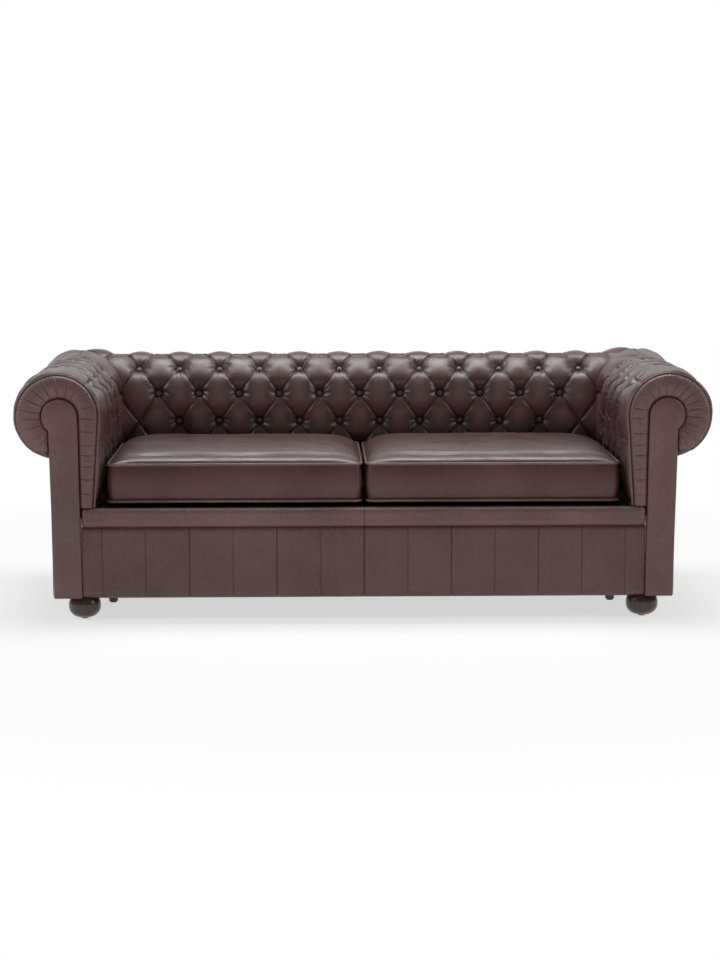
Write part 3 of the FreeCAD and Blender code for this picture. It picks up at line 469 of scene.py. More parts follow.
@dataclass
class Bench:
    """Turns shaped meshes into finished pieces."""

    wardrobe: Wardrobe

    def finish(
        self, name: str, mesh: bmesh.types.BMesh, slot: str, replaced: tuple[str, ...], body: str = "frame"
    ) -> bpy.types.Object:
        """Make a piece from a mesh, dress it and set it on its body.

        Args:
            name: The piece's name.
            mesh: Its mesh, which is used up.
            slot: The material slot of its finish.
            replaced: The CAD nodes that it stands for.
            body: The body that it moves with.

        Returns:
            The piece.
        """
        bmesh.ops.recalc_face_normals(mesh, faces=mesh.faces)
        for face in mesh.faces:
            face.smooth = True
        data = bpy.data.meshes.new(name)
        mesh.to_mesh(data)
        mesh.free()
        return self.adopt(name, data, slot, replaced, body)

    def adopt(
        self, name: str, data: bpy.types.Mesh, slot: str, replaced: tuple[str, ...], body: str = "frame"
    ) -> bpy.types.Object:
        """Make a piece from ready mesh data, dress it and set it on its body.

        Args:
            name: The piece's name.
            data: Its mesh data.
            slot: The material slot of its finish.
            replaced: The CAD nodes that it stands for.
            body: The body that it moves with.

        Returns:
            The piece.
        """
        piece = bpy.data.objects.new(name, data)
        bpy.context.scene.collection.objects.link(piece)
        data.materials.clear()
        data.materials.append(self.wardrobe.materials[slot])
        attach(piece, body)
        if replaced:
            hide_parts(*replaced)
        LOG.info("%s: %d faces", name, len(data.polygons))
        return piece

    def tube(self, name: str, points: list[Vector], radius: float, closed: bool = False) -> bpy.types.Mesh:
        """A round cord of leather along a line of points.

        Args:
            name: The mesh's name.
            points: The line that it follows.
            radius: Its radius.
            closed: True where it comes back to its start.

        Returns:
            The cord's mesh.
        """
        curve = bpy.data.curves.new(name, "CURVE")
        curve.dimensions = "3D"
        curve.bevel_depth = radius
        curve.bevel_resolution = 3
        curve.use_fill_caps = True
        spline = curve.splines.new("POLY")
        spline.points.add(len(points) - 1)
        for knot, point in zip(spline.points, points):
            knot.co = (*point, 1.0)
        spline.use_cyclic_u = closed
        holder = bpy.data.objects.new(name, curve)
        mesh = bpy.data.meshes.new_from_object(holder)
        bpy.data.objects.remove(holder)
        bpy.data.curves.remove(curve)
        return mesh


def wrapped(along: int, around: int, place: Callable[[float, int], tuple[Vector, float]]) -> bmesh.types.BMesh:
    """A closed skin: a grid rolled round a section and carried along, with both ends filled.

    Args:
        along: How many steps it has along its length.
        around: How many steps it has round its section.
        place: Gives the point and its painted-shade value for a share of the length and a step round.

    Returns:
        The skin, with a painted-shade value at each vertex.
    """
    mesh = bmesh.new()
    bmesh.ops.create_grid(mesh, x_segments=along, y_segments=around, size=1.0)
    # Each vertex keeps a value that paints shade into the leather where it is low.
    painted_shade_and_wear = mesh.verts.layers.float.new("painted_shade_and_wear")
    for vert in mesh.verts:
        share = (vert.co.x + 1.0) / 2.0
        step = round((vert.co.y + 1.0) / 2.0 * around) % around
        vert.co, vert[painted_shade_and_wear] = place(share, step)
    bmesh.ops.remove_doubles(mesh, verts=mesh.verts, dist=1e-6)
    close_ends(mesh)
    return mesh


def close_ends(mesh: bmesh.types.BMesh) -> None:
    """Fill every open loop of a mesh."""
    rims = [edge for edge in mesh.edges if edge.is_boundary]
    bmesh.ops.holes_fill(mesh, edges=rims, sides=0)


@dataclass(frozen=True)
class Roll:
    """The rolled profile that both arms and the back share, and its diamond buttoning."""

    radius: float = 0.122
    height: float = 0.600
    centre: float = 0.893
    lean: float = math.radians(3.8)
    wrap: float = math.radians(260.0)
    shift: float = 0.575
    bottom: float = 0.3003
    pitch: float = 0.128
    row: float = 0.089
    rows: int = 6
    first_row: float = 0.434

    @property
    def line_top(self) -> float:
        """The height where the leaning face meets the roll."""
        return self.height - self.radius * math.sin(self.lean)

    @property
    def first(self) -> float:
        """Where the lowest row of buttons lies round the profile."""
        return -(self.line_top - self.first_row) / math.cos(self.lean)

    @property
    def start(self) -> float:
        """Where the profile begins at the seat rail."""
        return -(self.line_top - self.bottom) / math.cos(self.lean)

    @property
    def end(self) -> float:
        """Where the profile ends under the roll."""
        return self.radius * (self.wrap + self.lean)

    def at(self, s: float, lift: float = 0.0) -> tuple[float, float]:
        """The (u, z) at a distance round the profile.

        Args:
            s: The distance, 0 where the leaning face meets the roll.
            lift: How far the point stands off the plain surface.

        Returns:
            How far out it is, and its height.
        """
        radius = self.radius + lift
        angle = -self.lean + max(s, 0.0) / self.radius
        down = min(s, 0.0)
        u = self.centre - radius * math.cos(angle) - down * math.sin(self.lean)
        z = self.height + radius * math.sin(angle) + down * math.cos(self.lean)
        return u, z


@dataclass
class TuftedPad:
    """One deep-buttoned pad: pillows between folds that run from button to button.

    The rows are counted up from the seat. The back takes its side only as a seed for its ripples.
    """

    pad: Pad
    side: Side
    bench: Bench
    roll: Roll = Roll()
    thickness: float = 0.047
    crown: float = 0.0150
    fold: float = 0.0062
    fold_width: float = 0.0031
    tucked_over: float = 0.0017
    mitre_fold: float = 0.006
    dimple: float = 0.0235
    pucker: float = 0.0012
    puckers: float = 8.0
    pucker_ring: float = 0.023
    crumple: float = 0.0009
    creep: float = 0.0006
    button_depth: float = 0.012
    button_seat: float = 0.0105
    under_button: float = 0.0004
    corner_swell: float = 0.011
    front: float = -0.414
    rear: float = 0.45
    half_back: float = 1.02
    even_first: float = -0.253
    odd_first: float = -0.317
    arm_buttons: int = 4
    back_reach: int = 4
    step: float = 0.0031
    inner_steps: int = 12

    @property
    def name(self) -> str:
        """The pad's node name."""
        return "back_tufted_pad" if self.pad is Pad.BACK else f"{self.side.word}_arm_tufted_pad"

    @property
    def origin(self) -> float:
        """Where the even rows of buttons are counted from."""
        return 0.0 if self.pad is Pad.BACK else self.even_first

    def reach(self, row: int) -> tuple[float, float]:
        """The first and last button of a row, along the pad."""
        if self.pad is Pad.BACK:
            limit = (self.back_reach + row / 2) * self.roll.pitch
            return -limit, limit
        first = self.even_first if row % 2 == 0 else self.odd_first
        return first, first + (self.arm_buttons - 1) * self.roll.pitch

    def bounds_at(self, level: float) -> tuple[float, float]:
        """How far the diamonds reach at a level counted in rows.

        Args:
            level: The level, 0 at the first row.

        Returns:
            The lowest and highest place along the pad.
        """
        level = min(self.roll.rows - 1.0, max(0.0, level))
        row = min(int(level), self.roll.rows - 2)
        share = level - row
        low, high = self.reach(row)
        next_low, next_high = self.reach(row + 1)
        return low + share * (next_low - low), high + share * (next_high - high)

    def creases(self, place: float, s: float) -> tuple[float, float, float]:
        """How the point lies among the folds.

        Args:
            place: How far along the pad the point is.
            s: How far round the profile it is.

        Returns:
            The distance to the nearest fold, how far the point lies just above one, from 0 to 1, and
            the fullness of its pillow, from 0 in a fold to 1 in the middle.
        """
        top = self.roll.rows - 1
        level = (s - self.roll.first) / self.roll.row
        low, high = self.bounds_at(level)
        turn = (place - self.origin) / self.roll.pitch
        beyond = max(low - place, place - high)
        past = max(-level, level - top) * self.roll.row
        if beyond > 0.0 and self.pad is Pad.ARM:
            run = (level - (1.0 if place < low else 0.0)) / 2.0 % 1.0
            gap = min(run, 1.0 - run) * 2.0 * self.roll.row
            return gap, 0.0, dome(gap / self.roll.row)
        if past > 0.0:
            t = (turn if level < 0 else turn + 0.5) % 1.0
            gap = min(t, 1.0 - t) * self.roll.pitch
            full = dome(gap / (self.roll.pitch / 2))
            return gap, 0.0, 0.62 + 0.38 * full if level < 0 else full
        half = level / 2.0
        span = 1.0 / math.hypot(1.0 / self.roll.pitch, 0.5 / self.roll.row)
        rise, fall = (turn + half) % 1.0, (half - turn) % 1.0
        gap_rise, gap_fall = min(rise, 1.0 - rise) * span, min(fall, 1.0 - fall) * span
        gap = min(gap_rise, gap_fall)
        above = max(math.exp(-rise * span / 0.010), math.exp(-fall * span / 0.010))
        full = dome(gap_rise / (span / 2)) * dome(gap_fall / (span / 2))
        return gap, above, full

    def nearest_button(self, place: float, s: float) -> tuple[float, float]:
        """The distance and direction to the nearest button.

        Args:
            place: How far along the pad the point is.
            s: How far round the profile it is.

        Returns:
            The distance in metres and the angle in radians.
        """
        best = (1.0, 0.0)
        level = round((s - self.roll.first) / self.roll.row)
        for row in (level - 1, level, level + 1):
            if not 0 <= row < self.roll.rows:
                continue
            low, high = self.reach(row)
            base = self.origin + (0.0 if row % 2 == 0 else self.roll.pitch / 2)
            spot = base + round((place - base) / self.roll.pitch) * self.roll.pitch
            spot = min(high, max(low, spot))
            dx, dy = place - spot, s - self.roll.first - row * self.roll.row
            distance = math.hypot(dx, dy)
            if distance < best[0]:
                best = (distance, math.atan2(dy, dx))
        return best

    def edge_at(self, place: float, s: float) -> float:
        """How full the pad is near its outer edges, from 0 at an edge to 1."""
        edge = min(dome((s - self.roll.start) / 0.03), dome((self.roll.end - s) / 0.06))
        if self.pad is Pad.BACK:
            return edge
        inward = place - self.front
        return min(edge, 0.25 + 0.75 * dome(inward / 0.16), dome(inward / 0.02))

    def crown_at(self, place: float, s: float, seam: float, tail: float) -> float:
        """How high the pillows stand at a point.

        Args:
            place: How far along the pad the point is.
            s: How far round the profile it is.
            seam: How far it is from the corner's mitre.
            tail: How far it lies under the roll, from 0 to 1.

        Returns:
            The height of a full pillow there.
        """
        lowest = self.roll.first
        crown = self.crown + self.corner_swell * smooth(0.17, 0.02, seam)
        crown *= (1.0 - 0.5 * tail) * (1.0 + 0.10 * ripple(place * 8.0, s * 8.0, self.side.value * 3.0))
        return crown * (1.0 - 0.35 * smooth(lowest - 0.02, lowest - 0.09, s))

    def wrinkles(self, place: float, s: float, distance: float, angle: float, full: float, edge: float) -> float:
        """The small puckers round a button and the leather's own unevenness.

        Args:
            place: How far along the pad the point is.
            s: How far round the profile it is.
            distance: How far it is from the nearest button.
            angle: Its direction from that button.
            full: The fullness of its pillow.
            edge: How full the pad is there.

        Returns:
            The lift that they add.
        """
        fan = math.exp(-(((distance - self.pucker_ring) / 0.013) ** 2))
        twist = 60.0 * ripple(place * 2.0, s * 2.0, 5.0)
        lift = self.pucker * fan * math.sin(self.puckers * angle + twist)
        lift += self.crumple * full * ripple(place * 26.0, s * 26.0, 2.0) * edge
        return lift + self.creep * full * ripple(place * 6.0, s * 27.0, 11.0 + self.side.value) * edge

    def lift(self, place: float, s: float) -> tuple[float, float]:
        """How far the leather stands off the plain surface at a point.

        Args:
            place: How far along the pad the point is.
            s: How far round the profile it is.

        Returns:
            The lift in metres, and the painted-shade value from 0 to 1, low in the folds and round the buttons.
        """
        roll = self.roll
        gap, above, full = self.creases(place, s)
        distance, angle = self.nearest_button(place, s)
        u, _ = roll.at(s)
        seam = u - abs(place) if self.pad is Pad.BACK else u - roll.shift - place
        edge = self.edge_at(place, s)
        tail = smooth(roll.first + 5.4 * roll.row, roll.end, s)
        near = math.exp(-((distance / self.dimple) ** 1.45))
        lift = self.crown_at(place, s, seam, tail) * edge * (0.62 + 0.38 * full)
        lift -= (lift + self.button_depth) * near
        sunk = self.fold * (1.0 - near) + 0.002 * near
        lift -= sunk * edge * (1.0 - tail) * math.exp(-((gap / self.fold_width) ** 1.3))
        lift += self.tucked_over * above * edge * (1.0 - near)
        lift -= self.mitre_fold * math.exp(-((max(0.0, seam) / 0.006) ** 1.2)) * edge
        lift += self.wrinkles(place, s, distance, angle, full, edge)
        seat = smooth(self.button_seat + 0.004, self.button_seat - 0.001, distance)
        # Painted shade: low round the buttons and in the folds, lower still on thin pillows.
        shade = max(0.0, 1.0 - 1.1 * near) * (1.0 - 0.8 * math.exp(-((gap / 0.0032) ** 2)) * (1.0 - tail))
        pressed = -self.button_depth - self.under_button
        return lift + seat * (pressed - lift), shade * (0.55 + 0.45 * full)

    def point(self, place: float, s: float, lift: float) -> Vector:
        """The point in the sofa's own space."""
        u, z = self.roll.at(s, lift)
        if self.pad is Pad.BACK:
            return Vector((place, u - self.roll.shift, z))
        return Vector((self.side.value * u, place, z))

    def build(self) -> bpy.types.Object:
        """Build the pad and put it in its node's place.

        Returns:
            The finished pad.
        """
        roll = self.roll
        low, high = (-self.half_back, self.half_back) if self.pad is Pad.BACK else (self.front, self.rear)
        outer = round((roll.end - roll.start) / self.step)
        inner = self.inner_steps
        around = outer + inner + 2

        def place(share: float, step: int) -> tuple[Vector, float]:
            """The point of the pad's skin at a share of its length and a step round it."""
            along = low + share * (high - low)
            if step <= outer:
                s = roll.start + (roll.end - roll.start) * step / outer
                # The second value is the painted-shade value.
                lift, full = self.lift(along, s)
                return self.point(along, s, lift), full
            s = roll.end + (roll.start - roll.end) * (step - outer - 1) / inner
            return self.point(along, s, -self.thickness), 0.5

        mesh = wrapped(round((high - low) / self.step), around, place)
        for sign in (-1, 1) if self.pad is Pad.BACK else (self.side.value,):
            self.mitre(mesh, sign)
        # The pads wear the darker copy of the hide, which paints their shade.
        piece = self.bench.finish(self.name.replace("_pad", "_leather"), mesh, "tufted_leather", (self.name,))
        return piece

    def mitre(self, mesh: bmesh.types.BMesh, sign: int) -> None:
        """Cut the pad's end at 45 degrees, where it meets its neighbour in the corner.

        Args:
            mesh: The pad's mesh.
            sign: The end that is cut.
        """
        slope = Vector((sign, -1.0, 0.0)).normalized()
        away = slope if self.pad is Pad.BACK else -slope
        start = Vector((sign * self.roll.shift, 0.0, 0.0)) - away * SEAM / 2
        bmesh.ops.bisect_plane(
            mesh,
            geom=mesh.verts[:] + mesh.edges[:] + mesh.faces[:],
            plane_co=start,
            plane_no=away,
            clear_outer=True,
        )
        close_ends(mesh)


@dataclass
class ArmFront:
    """The pleated facing, the keyhole panel and the welt of one arm."""

    side: Side
    bench: Bench
    roll: Roll = Roll()
    face: float = -0.440
    board: float = -0.422
    inset: float = 0.004
    wrap: float = math.radians(238.0)
    low: float = 0.3326
    head_radius: float = 0.052
    head: float = 0.885
    crown: float = 0.0125
    edge: float = 0.004
    fold_pitch: float = 0.0375
    fold_spread: float = 0.22
    gather: float = 0.0007
    gather_pitch: float = 0.0085
    crumple: float = 0.0010
    along: int = 560
    across: int = 18
    tuck: float = 0.037
    neck_height: float = 0.525
    foot_height: float = 0.065
    neck: tuple[float, float] = (0.831, 0.917)
    foot: tuple[float, float] = (0.8265, 0.907)
    play: float = 0.0012
    head_steps: int = 30
    side_steps: int = 6
    cushioned: tuple[tuple[float, float], ...] = ((0.006, 0.0018), (0.009, 0.0012), (0.010, 0.0005))
    welt: float = 0.0035
    welt_foot: float = 0.3316

    def panel_edge(self, z: float) -> tuple[float, float]:
        """The inside and outside of the keyhole panel's straight sides at a height."""
        share = (z - self.foot_height) / (self.neck_height - self.foot_height)
        inside = self.foot[0] + share * (self.neck[0] - self.foot[0])
        outside = self.foot[1] + share * (self.neck[1] - self.foot[1])
        return inside, outside

    def ring(self, radius: float, angle: float, centre: float | None = None) -> tuple[float, float]:
        """A point round the arm's roll, from the inward level line."""
        middle = self.roll.centre if centre is None else centre
        return middle - radius * math.cos(angle), self.roll.height + radius * math.sin(angle)

    def spoke(self, length: float) -> tuple[tuple[float, float], tuple[float, float]]:
        """The outer and inner end of the facing at a length along its outer seam.

        Args:
            length: The length from the border up, round the roll.

        Returns:
            Both ends as (u, z).
        """
        radius = self.roll.radius - self.inset
        straight = self.roll.height - self.low
        if length < straight:
            z = self.low + length
            outer = self.roll.at(-(self.roll.line_top - z) / math.cos(self.roll.lean), -self.inset)
            share = smooth(straight - 0.075, straight, length)
            head = self.ring(self.head_radius + self.play, 0.0, self.head)
            inside = self.panel_edge(z)[0] - SEAM
            return (outer[0], z), (inside + share * (head[0] - inside), z)
        angle = (length - straight) / radius
        outer = self.ring(radius, angle)
        inner = self.ring(self.head_radius + self.play, angle, self.head)
        if angle > math.pi:
            inner = (max(inner[0], self.neck[1] + self.play), inner[1])
        if angle > self.wrap:
            share = min(1.0, (length - straight - self.wrap * radius) / self.tuck)
            last = self.ring(radius, self.wrap)
            start = self.ring(self.head_radius + self.play, self.wrap, self.head)
            outer = (last[0] + 0.97 * share * (self.neck[1] + self.play - last[0]), last[1])
            inner = (self.neck[1] + self.play, start[1] + 0.97 * share * (last[1] - start[1]))
        return outer, inner

    def folds(self, total: float) -> list[float]:
        """Where the folds lie along the outer seam, a little unevenly."""
        chance = random.Random(7 + self.side.value)
        marks = [0.0]
        while marks[-1] < total:
            marks.append(marks[-1] + self.fold_pitch * chance.uniform(1.0 - self.fold_spread, 1.0 + self.fold_spread))
        return marks

    def build_facing(self) -> bpy.types.Object:
        """Build the soft pleated band round the panel.

        Returns:
            The finished facing.
        """
        straight = self.roll.height - self.low
        total = straight + (self.roll.radius - self.inset) * self.wrap + self.tuck
        marks = self.folds(total)
        across = self.across
        sign = self.side.value

        def place(share: float, step: int) -> tuple[Vector, float]:
            """The point of the facing at a share of its length and a step round its section."""
            length = share * total
            count = max(i for i, mark in enumerate(marks) if mark <= length)
            cut = (length - marks[count]) / (marks[min(count + 1, len(marks) - 1)] - marks[count] + 1e-9)
            (ou, oz), (iu, iz) = self.spoke(length)
            if step > across:
                w = 1.0 if step == across + 1 else 0.0
                return Vector((sign * (ou + w * (iu - ou)), self.board - SEAM, oz + w * (iz - oz))), 0.5
            w = step / across
            ridge = dome(min(cut, 1.0 - cut) / 0.13)
            deep = 0.22 + 0.30 * smooth(0.0, 0.9, w)
            body = math.sin(math.pi * min(1.0, max(0.0, w))) ** 0.6
            rise = self.edge + self.crown * body * (1.0 - deep * (1.0 - ridge))
            gather = smooth(0.35, 0.02, w) * math.sin(length / self.gather_pitch * 2.0 * math.pi)
            rise += self.gather * gather * smooth(straight, straight + 0.05, length)
            rise += self.crumple * body * ripple(length * 60.0, w * 3.0, 4.0)
            u, z = ou + w * (iu - ou), oz + w * (iz - oz)
            # Painted shade: darker between the pleats and along the band's edges.
            return Vector((sign * u, self.board - SEAM - rise, z)), 0.2 + 0.6 * ridge * min(1.0, 1.3 * body)

        mesh = wrapped(self.along, across + 3, place)
        piece = self.bench.finish(
            f"{self.side.word}_pleated_leather", mesh, "facing_leather", (f"{self.side.word}_pleated_facing",)
        )
        return piece

    def outline(self) -> list[tuple[float, float]]:
        """The keyhole panel's outline as (u, z), from its outer foot round."""
        inside, outside = self.panel_edge(self.neck_height)
        start = -math.acos(min(1.0, (self.head - inside) / self.head_radius))
        end = math.pi + math.acos((outside - self.head) / self.head_radius)
        steps, rise = self.side_steps, self.neck_height - self.foot_height

        def climb(foot: float, neck: float, k: int) -> tuple[float, float]:
            """The point on a straight side, k steps above its foot."""
            return foot + (neck - foot) * k / steps, self.foot_height + rise * k / steps

        points = [(self.foot[1], self.foot_height), (self.foot[0], self.foot_height)]
        points += [climb(self.foot[0], inside, k) for k in range(1, steps + 1)]
        for k in range(self.head_steps + 1):
            points.append(self.ring(self.head_radius, start + (end - start) * k / self.head_steps, self.head))
        points += [climb(self.foot[1], outside, k) for k in range(steps, 0, -1)]
        return points

    def build_panel(self) -> bpy.types.Object:
        """Build the padded keyhole panel that stands proud on the arm front.

        Returns:
            The finished panel.
        """
        sign = self.side.value
        mesh = bmesh.new()
        back = self.board - SEAM
        verts = [mesh.verts.new((sign * u, back, z)) for u, z in self.outline()]
        base = mesh.faces.new(verts)
        made = bmesh.ops.extrude_face_region(mesh, geom=[base])["geom"]
        front = [v for v in made if isinstance(v, bmesh.types.BMVert)]
        bmesh.ops.translate(mesh, verts=front, vec=(0.0, self.face + 0.0035 - back, 0.0))
        face = next(f for f in mesh.faces if all(v in front for v in f.verts))
        rim = list(face.edges)
        bmesh.ops.bevel(mesh, geom=rim, offset=0.005, segments=4, profile=0.5, affect="EDGES", material=-1)
        face = min(mesh.faces, key=lambda f: f.calc_center_median().y - f.calc_area())
        for inset, rise in self.cushioned:
            bmesh.ops.inset_region(mesh, faces=[face], thickness=inset, use_even_offset=True)
            bmesh.ops.translate(mesh, verts=face.verts, vec=(0.0, -rise, 0.0))
        # Painted shade: the panel darkens down its sides towards the board behind it.
        painted_shade_and_wear = mesh.verts.layers.float.new("painted_shade_and_wear")
        for vert in mesh.verts:
            vert[painted_shade_and_wear] = smooth(back, self.face, vert.co.y) * 0.7
        name = f"{self.side.word}_arm_front_panel"
        piece = self.bench.finish(name.replace("_panel", "_keyhole"), mesh, "facing_leather", (name,))
        return piece

    def build_welt(self) -> bpy.types.Object:
        """Build the piping in the corner between the pad and the arm front.

        Returns:
            The finished welt.
        """
        radius = self.roll.radius - self.inset + self.welt + SEAM
        offset = radius - self.roll.radius
        y = self.board + 0.004
        sign = self.side.value
        foot = self.welt_foot + self.welt
        points = []
        for k in range(12):
            z = foot + (self.roll.line_top - foot) * k / 12
            u, z = self.roll.at(-(self.roll.line_top - z) / math.cos(self.roll.lean), offset)
            points.append(Vector((sign * u, y, z)))
        for k in range(61):
            angle = -self.roll.lean + (self.wrap + self.roll.lean) * k / 60
            u, z = self.ring(radius, angle)
            points.append(Vector((sign * u, y, z)))
        name = f"{self.side.word}_arm_welt"
        data = self.bench.tube(name, points, self.welt)
        return self.bench.adopt(f"{name}_cord", data, "piping_leather", (name,))

    def build(self) -> None:
        """Build the whole arm front."""
        self.build_facing()
        self.build_panel()
        self.build_welt()


@dataclass
class SeatFront:
    """The rounded border over the front rail and the channelled apron below it."""

    bench: Bench
    half: float = 0.8262
    back: float = -0.414
    face: float = -0.440
    bottom: float = 0.275
    top: float = 0.3316
    edge_round: float = 0.016
    apron_bottom: float = 0.065
    apron_face: float = -0.430
    channel: float = 0.128
    channels_each_side: int = 6
    crown: float = 0.0050
    seam_width: float = 0.0035
    seam_depth: float = 0.0028
    border_steps: int = 420
    apron_steps: int = 1000
    apron_rows: int = 26

    def border_section(self) -> list[tuple[float, float]]:
        """The border's section as (y, z), from its lower back round the front."""
        points = [(self.back, self.bottom)]
        r = self.edge_round
        low, high = self.bottom + r, self.top - r
        turns = [math.pi / 2 * k / 8 for k in range(9)]
        points += [(self.face + r * (1 - math.sin(a)), low - r * math.cos(a)) for a in turns]
        points += [(self.face, low + (high - low) * k / 6) for k in range(1, 6)]
        points += [(self.face + r * (1 - math.cos(a)), high + r * math.sin(a)) for a in turns]
        points.append((self.back, self.top))
        return points

    def build_border(self) -> bpy.types.Object:
        """Build the padded border, with the seam at its middle.

        Returns:
            The finished border.
        """
        section = self.border_section()
        middle = (self.bottom + self.top) / 2

        def place(share: float, step: int) -> tuple[Vector, float]:
            """The point of the border at a share of its length and a step round its section."""
            x = self.half * (2.0 * share - 1.0)
            y, z = section[step]
            end = dome((self.half - abs(x)) / 0.013)
            seam = math.exp(-((x / self.seam_width) ** 2))
            front = smooth(self.back, self.face, y)
            y = self.back + (y - self.back) * (0.35 + 0.65 * end)
            z = middle + (z - middle) * (0.55 + 0.45 * end)
            y += self.seam_depth * seam * front + front * 0.0010 * ripple(x * 9.0, z * 30.0, 1.0)
            z += 0.0007 * ripple(x * 6.0, y * 30.0, 7.0) * front
            # Painted shade: darker towards the back edges, at both ends and in the middle seam.
            return Vector((x, y, z)), (0.25 + 0.5 * front) * end * (1.0 - 0.9 * seam)

        mesh = wrapped(self.border_steps, len(section), place)
        piece = self.bench.finish("front_border_leather", mesh, "facing_leather", ("front_border",))
        return piece

    def channel_at(self, x: float) -> float:
        """The height across the apron's channels, 0 in a seam and 1 in the middle of a channel."""
        reach = self.channels_each_side * self.channel
        if abs(x) > reach:
            t = (abs(x) - reach) / (self.half - reach)
        else:
            t = (x / self.channel) % 1.0
        return 0.7 * dome(min(t, 1.0 - t) / 0.035) + 0.3 * dome(min(t, 1.0 - t) / 0.5)

    def build_apron(self) -> bpy.types.Object:
        """Build the apron of upright soft channels.

        Returns:
            The finished apron.
        """
        steps = self.apron_rows
        top = self.bottom - SEAM

        def place(share: float, step: int) -> tuple[Vector, float]:
            """The point of the apron at a share of its length and a step round its section."""
            x = self.half * (2.0 * share - 1.0)
            if step > steps:
                return Vector((x, self.back, top if step == steps + 1 else self.apron_bottom)), 0.4
            z = self.apron_bottom + (top - self.apron_bottom) * step / steps
            full = self.channel_at(x) * dome((z - self.apron_bottom + 0.003) / 0.018)
            pull = 0.0011 * ripple(x * 42.0, z * 5.0, 3.0) + 0.0008 * ripple(x * 14.0, z * 14.0, 9.0)
            y = self.apron_face + 0.0085 - (self.crown + 0.0022) * full + pull * full
            y += 0.004 * (1.0 - dome((top - z) / 0.012))
            y += 0.006 * (1.0 - dome((z - self.apron_bottom) / 0.007))
            # Painted shade: darker in the seams between the channels and along the bottom edge.
            return Vector((x, y, z)), 0.1 + 0.5 * full

        mesh = wrapped(self.apron_steps, steps + 3, place)
        piece = self.bench.finish("front_apron_leather", mesh, "outside_leather", ("front_apron",))
        return piece

    def build(self) -> None:
        """Build the border and the apron."""
        self.build_border()
        self.build_apron()


@dataclass
class OutsideCovers:
    """The flat leather outside arms and back, the dust cloth below and the deck pad above."""

    bench: Bench
    roll: Roll = Roll()
    outside: float = 0.914
    thickness: float = 0.003
    bottom: float = 0.065
    behind: float = 0.339
    front: float = -0.414
    swell: float = 0.004
    rows: int = 40
    panel_step: float = 0.012
    deck_steps: int = 120
    deck_edge: float = 0.012

    def panel(self, length: float, put: Callable[[float, float, float], Vector]) -> bmesh.types.BMesh:
        """A thin leather panel, a little full in its middle.

        Args:
            length: Its length.
            put: Gives the point for a place along it, a height and how far it stands out.

        Returns:
            The panel's mesh.
        """
        top = self.roll.at(self.roll.end)[1] - SEAM
        steps = self.rows

        def place(share: float, step: int) -> tuple[Vector, float]:
            """The point of the panel at a share of its length and a step round its section."""
            along = share * length
            if step > steps:
                return put(along, top if step == steps + 1 else self.bottom, 0.0), 0.5
            z = self.bottom + (top - self.bottom) * step / steps
            rim = dome(min(along, length - along) / 0.03) * dome(min(z - self.bottom, top - z) / 0.03)
            wave = 0.7 + 0.5 * ripple(along * 3.0, z * 4.0, 6.0)
            out = self.thickness * (0.4 + 0.6 * rim) + self.swell * rim * max(0.0, wave)
            # Painted shade: darker along the panel's edges.
            return put(along, z, out), 0.35 + 0.35 * rim

        return wrapped(round(length / self.panel_step), steps + 3, place)

    def build(self) -> None:
        """Build the three covers, the dust cloth and the deck pad."""
        inner = self.outside - self.thickness
        for side in Side:
            sign = side.value
            mesh = self.panel(
                self.behind - self.thickness - self.front,
                lambda along, z, out: Vector((sign * (inner + out), self.front + along, z)),
            )
            name = f"{side.word}_outside_arm_cover"
            self.bench.finish(name.replace("_cover", "_leather"), mesh, "outside_leather", (name,))
        wall = self.behind - self.thickness
        mesh = self.panel(2 * self.outside, lambda along, z, out: Vector((along - self.outside, wall + out, z)))
        self.bench.finish("outside_back_leather", mesh, "outside_leather", ("outside_back_cover",))
        self.build_dust_cloth()
        self.build_deck()

    def build_dust_cloth(self) -> None:
        """Build the cloth stretched under the frame."""
        low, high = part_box("dust_cover")
        mesh = bmesh.new()
        bmesh.ops.create_grid(mesh, x_segments=60, y_segments=24, size=0.5)
        spread = Matrix.Diagonal((high[0] - low[0], high[1] - low[1], 1.0, 1.0))
        bmesh.ops.transform(mesh, matrix=spread, verts=mesh.verts)
        middle = (low[1] + high[1]) / 2
        bmesh.ops.translate(mesh, verts=mesh.verts, vec=(0.0, middle, low[2] + 0.0008))
        for vert in mesh.verts:
            vert.co.z += 0.0003 * ripple(vert.co.x * 8.0, vert.co.y * 8.0)
        bmesh.ops.recalc_face_normals(mesh, faces=mesh.faces)
        bmesh.ops.solidify(mesh, geom=mesh.faces[:], thickness=0.0005)
        piece = self.bench.finish("dust_cloth_sheet", mesh, "dust_cloth", ("dust_cover",))

    def build_deck(self) -> None:
        """Build the felt-covered pad over the springs."""
        low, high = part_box("seat_deck_pad")
        steps = self.rows

        def place(share: float, step: int) -> tuple[Vector, float]:
            """The point of the pad at a share of its width and a step round its section."""
            x = low[0] + share * (high[0] - low[0])
            rim = dome(min(x - low[0], high[0] - x) / self.deck_edge)
            if step > steps:
                y = high[1] - 0.002 if step == steps + 1 else low[1] + 0.002
                return Vector((x, y, low[2])), 0.5
            y = low[1] + (high[1] - low[1]) * step / steps
            rim *= dome(min(y - low[1], high[1] - y) / self.deck_edge)
            full = 0.35 + 0.65 * rim
            return Vector((x, y, low[2] + (high[2] - low[2]) * full - 0.0004)), full

        mesh = wrapped(self.deck_steps, steps + 3, place)
        # The near-black felt paints the shade in the gap under the cushions.
        piece = self.bench.finish("seat_deck_felt", mesh, "deck_felt", ("seat_deck_pad",))


